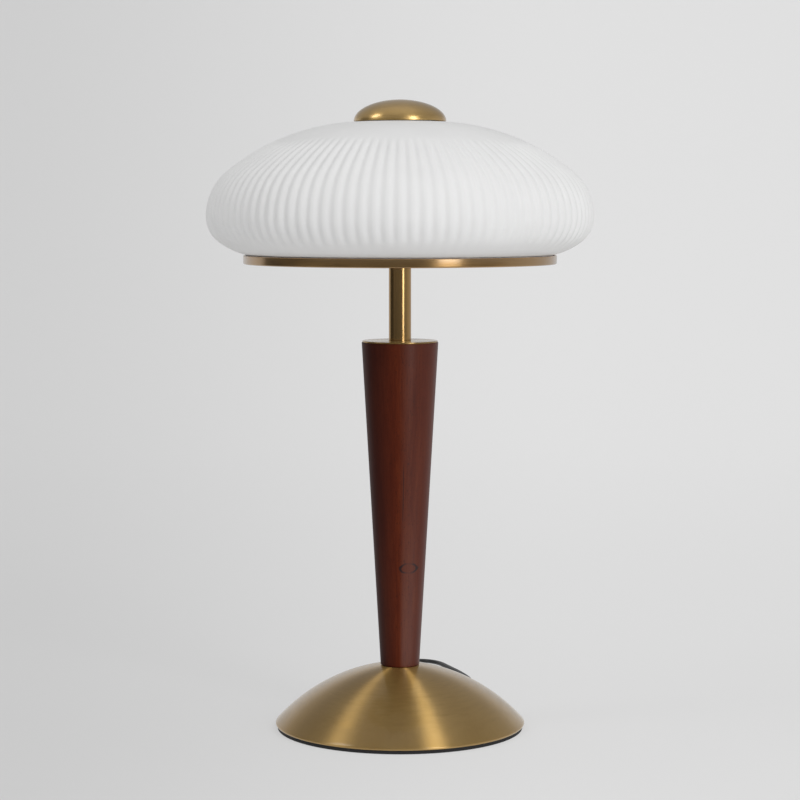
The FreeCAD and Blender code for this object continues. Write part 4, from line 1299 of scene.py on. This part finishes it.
def cut_out(name, outline, thickness):
    """A flat piece with an outline of (x, z) points, as thick as told along Y."""
    piece = trace(name, [(x, -thickness / 2, z) for x, z in [*outline, outline[0]]])
    bpy.ops.mesh.edge_face_add()
    pull((0.0, thickness, 0.0))
    close_edit()
    return piece


top_line = []
for k in range(13):
    share = k / 6 - 1.0
    top_line.append((-share * rocker_half, rocker_ends - rocker_hollow * (1.0 - share * share)))
rocker = cut_out("finger_rocker", [
    (-rocker_half, rocker_low), (rocker_half, rocker_low), *top_line], rocker_width)
soften(rocker, rocker_round, 3, lambda a, b: max(abs(a.x), abs(b.x)) > rocker_half - 1e-5
       or abs(a.y - b.y) < 1e-6 and min(a.z, b.z) > rocker_low + 0.001)
rocker.data.transform(
    Matrix.Translation((switch_x, switch_y, pivot_height))
    @ Matrix.Rotation(rocker_tilt, 4, "Y") @ Matrix.Translation((0.0, 0.0, -pivot_height)))
rocker_paint = moulded("rocker plastic", (0.016, 0.016, 0.017), (0.024, 0.024, 0.025),
                       roughness=0.38, grain=1500.0, depth=0.08)
x, y, z = rocker_paint.where.parts()
left_run = ((x - switch_x + mark_aside) ** 2.0 + (y - switch_y) ** 2.0) ** 0.5
ring_mark = 1.0 - (left_run - mark_radius).size().over(*mark_line)
bar_mark = (1.0 - (x - switch_x - mark_aside).size().over(*mark_line)) * (
    1.0 - (y - switch_y).size().over(*bar_half))
marks = ring_mark.math("MAXIMUM", ring_mark, bar_mark) * (z > mark_low)
rocker_paint.tint(marks, (0.019, 0.019, 0.020), (0.70, 0.70, 0.68))
dress(rocker, rocker_paint, "rocker_plastic", "rocker", "switch_rocker")


# Plug: soft black vinyl moulded over two flat blades, with finger grooves in its sides and
# a ribbed tail that bends with the cord. The blades are stamped brass, each with a hole.
plug_low = (-0.002, 0.124, 0.0)
plug_high = (0.022, 0.147, 0.014)
plug_y, plug_z = 0.1355, 0.007
plug_corner = 0.005
plug_round = 0.0024
finger_first = 0.0065
finger_pitch = 0.0032
finger_aside = 0.0115
finger_half = 0.0006
finger_low = 0.003
finger_high = 0.011
tail_start = -0.014
tail_ribs = 4
tail_pitch = 0.0024
tail_widening = 0.00036
tail_radius = 0.0050
blade_start = 0.022
blade_end = 0.039
blade_thickness = 0.0015
blade_half = 0.003175
blade_apart = 0.0127
blade_round = 0.0003
blade_hole = (0.0335, 0.0, plug_z)
blade_hole_radius = 0.0016

plug = block("plug_moulding", plug_low, plug_high)
soften(plug, plug_corner, 8, upright)
soften(plug, plug_round, 5, lambda a, b: abs(a.z - b.z) < 1e-6)
for side in (-1, 1):
    for k in range(3):
        x = finger_first + finger_pitch * k
        y = plug_y + side * finger_aside
        carve(plug, block("groove", (x - finger_half, y - finger_half, finger_low),
                          (x + finger_half, y + finger_half, finger_high)))
tail_section = [(0.0, 0.0), (0.0026, 0.0), (0.0031, 0.0005)]
for k in range(tail_ribs):
    low = tail_pitch * k + 0.0016
    wide = 0.0033 + tail_widening * k
    tail_section += [(wide, low), (wide - 0.0006, low + 0.0003), (wide - 0.0006, low + 0.0010),
                     (wide + 0.0001, low + 0.0013)]
plug_tail = turn_on_lathe("plug_tail", [
    *tail_section, (tail_radius, 0.0130), (tail_radius, 0.0150), (0.0, 0.0150)], 40)
plug_tail.data.transform(
    Matrix.Translation((tail_start, plug_y, plug_z)) @ Matrix.Rotation(math.pi / 2, 4, "Y"))
carve(plug, plug_tail, "UNION")
smooth(plug, 30.0)
plug_vinyl = moulded("black plug vinyl", (0.014, 0.014, 0.015), (0.022, 0.022, 0.023),
                     roughness=0.46, grain=1300.0, depth=0.14)
dress(plug, plug_vinyl, "black_plug_vinyl", "stand", "plug_body")

blade_low = plug_z - blade_half
blade_high = plug_z + blade_half
first_blade = cut_out("first_blade", [
    (blade_start, blade_low), (blade_end - 0.0016, blade_low),
    (blade_end - 0.0004, blade_low + 0.0009), (blade_end, plug_z - 0.0014),
    (blade_end, plug_z + 0.0014), (blade_end - 0.0004, blade_high - 0.0009),
    (blade_end - 0.0016, blade_high), (blade_start, blade_high)], blade_thickness)
soften(first_blade, blade_round, 2,
       lambda a, b: abs(a.y - b.y) < 1e-6 and min(a.x, b.x) > blade_start + 1e-5)
drill(first_blade, blade_hole_radius, 4 * blade_thickness, blade_hole, math.pi / 2)
blades = repeat("plug_blade_pair", first_blade, [
    (0.0, plug_y + side * blade_apart / 2, 0.0) for side in (-1, 1)])
dress(blades, plain_brass, "plug_blade_brass", "stand", "plug_blades")
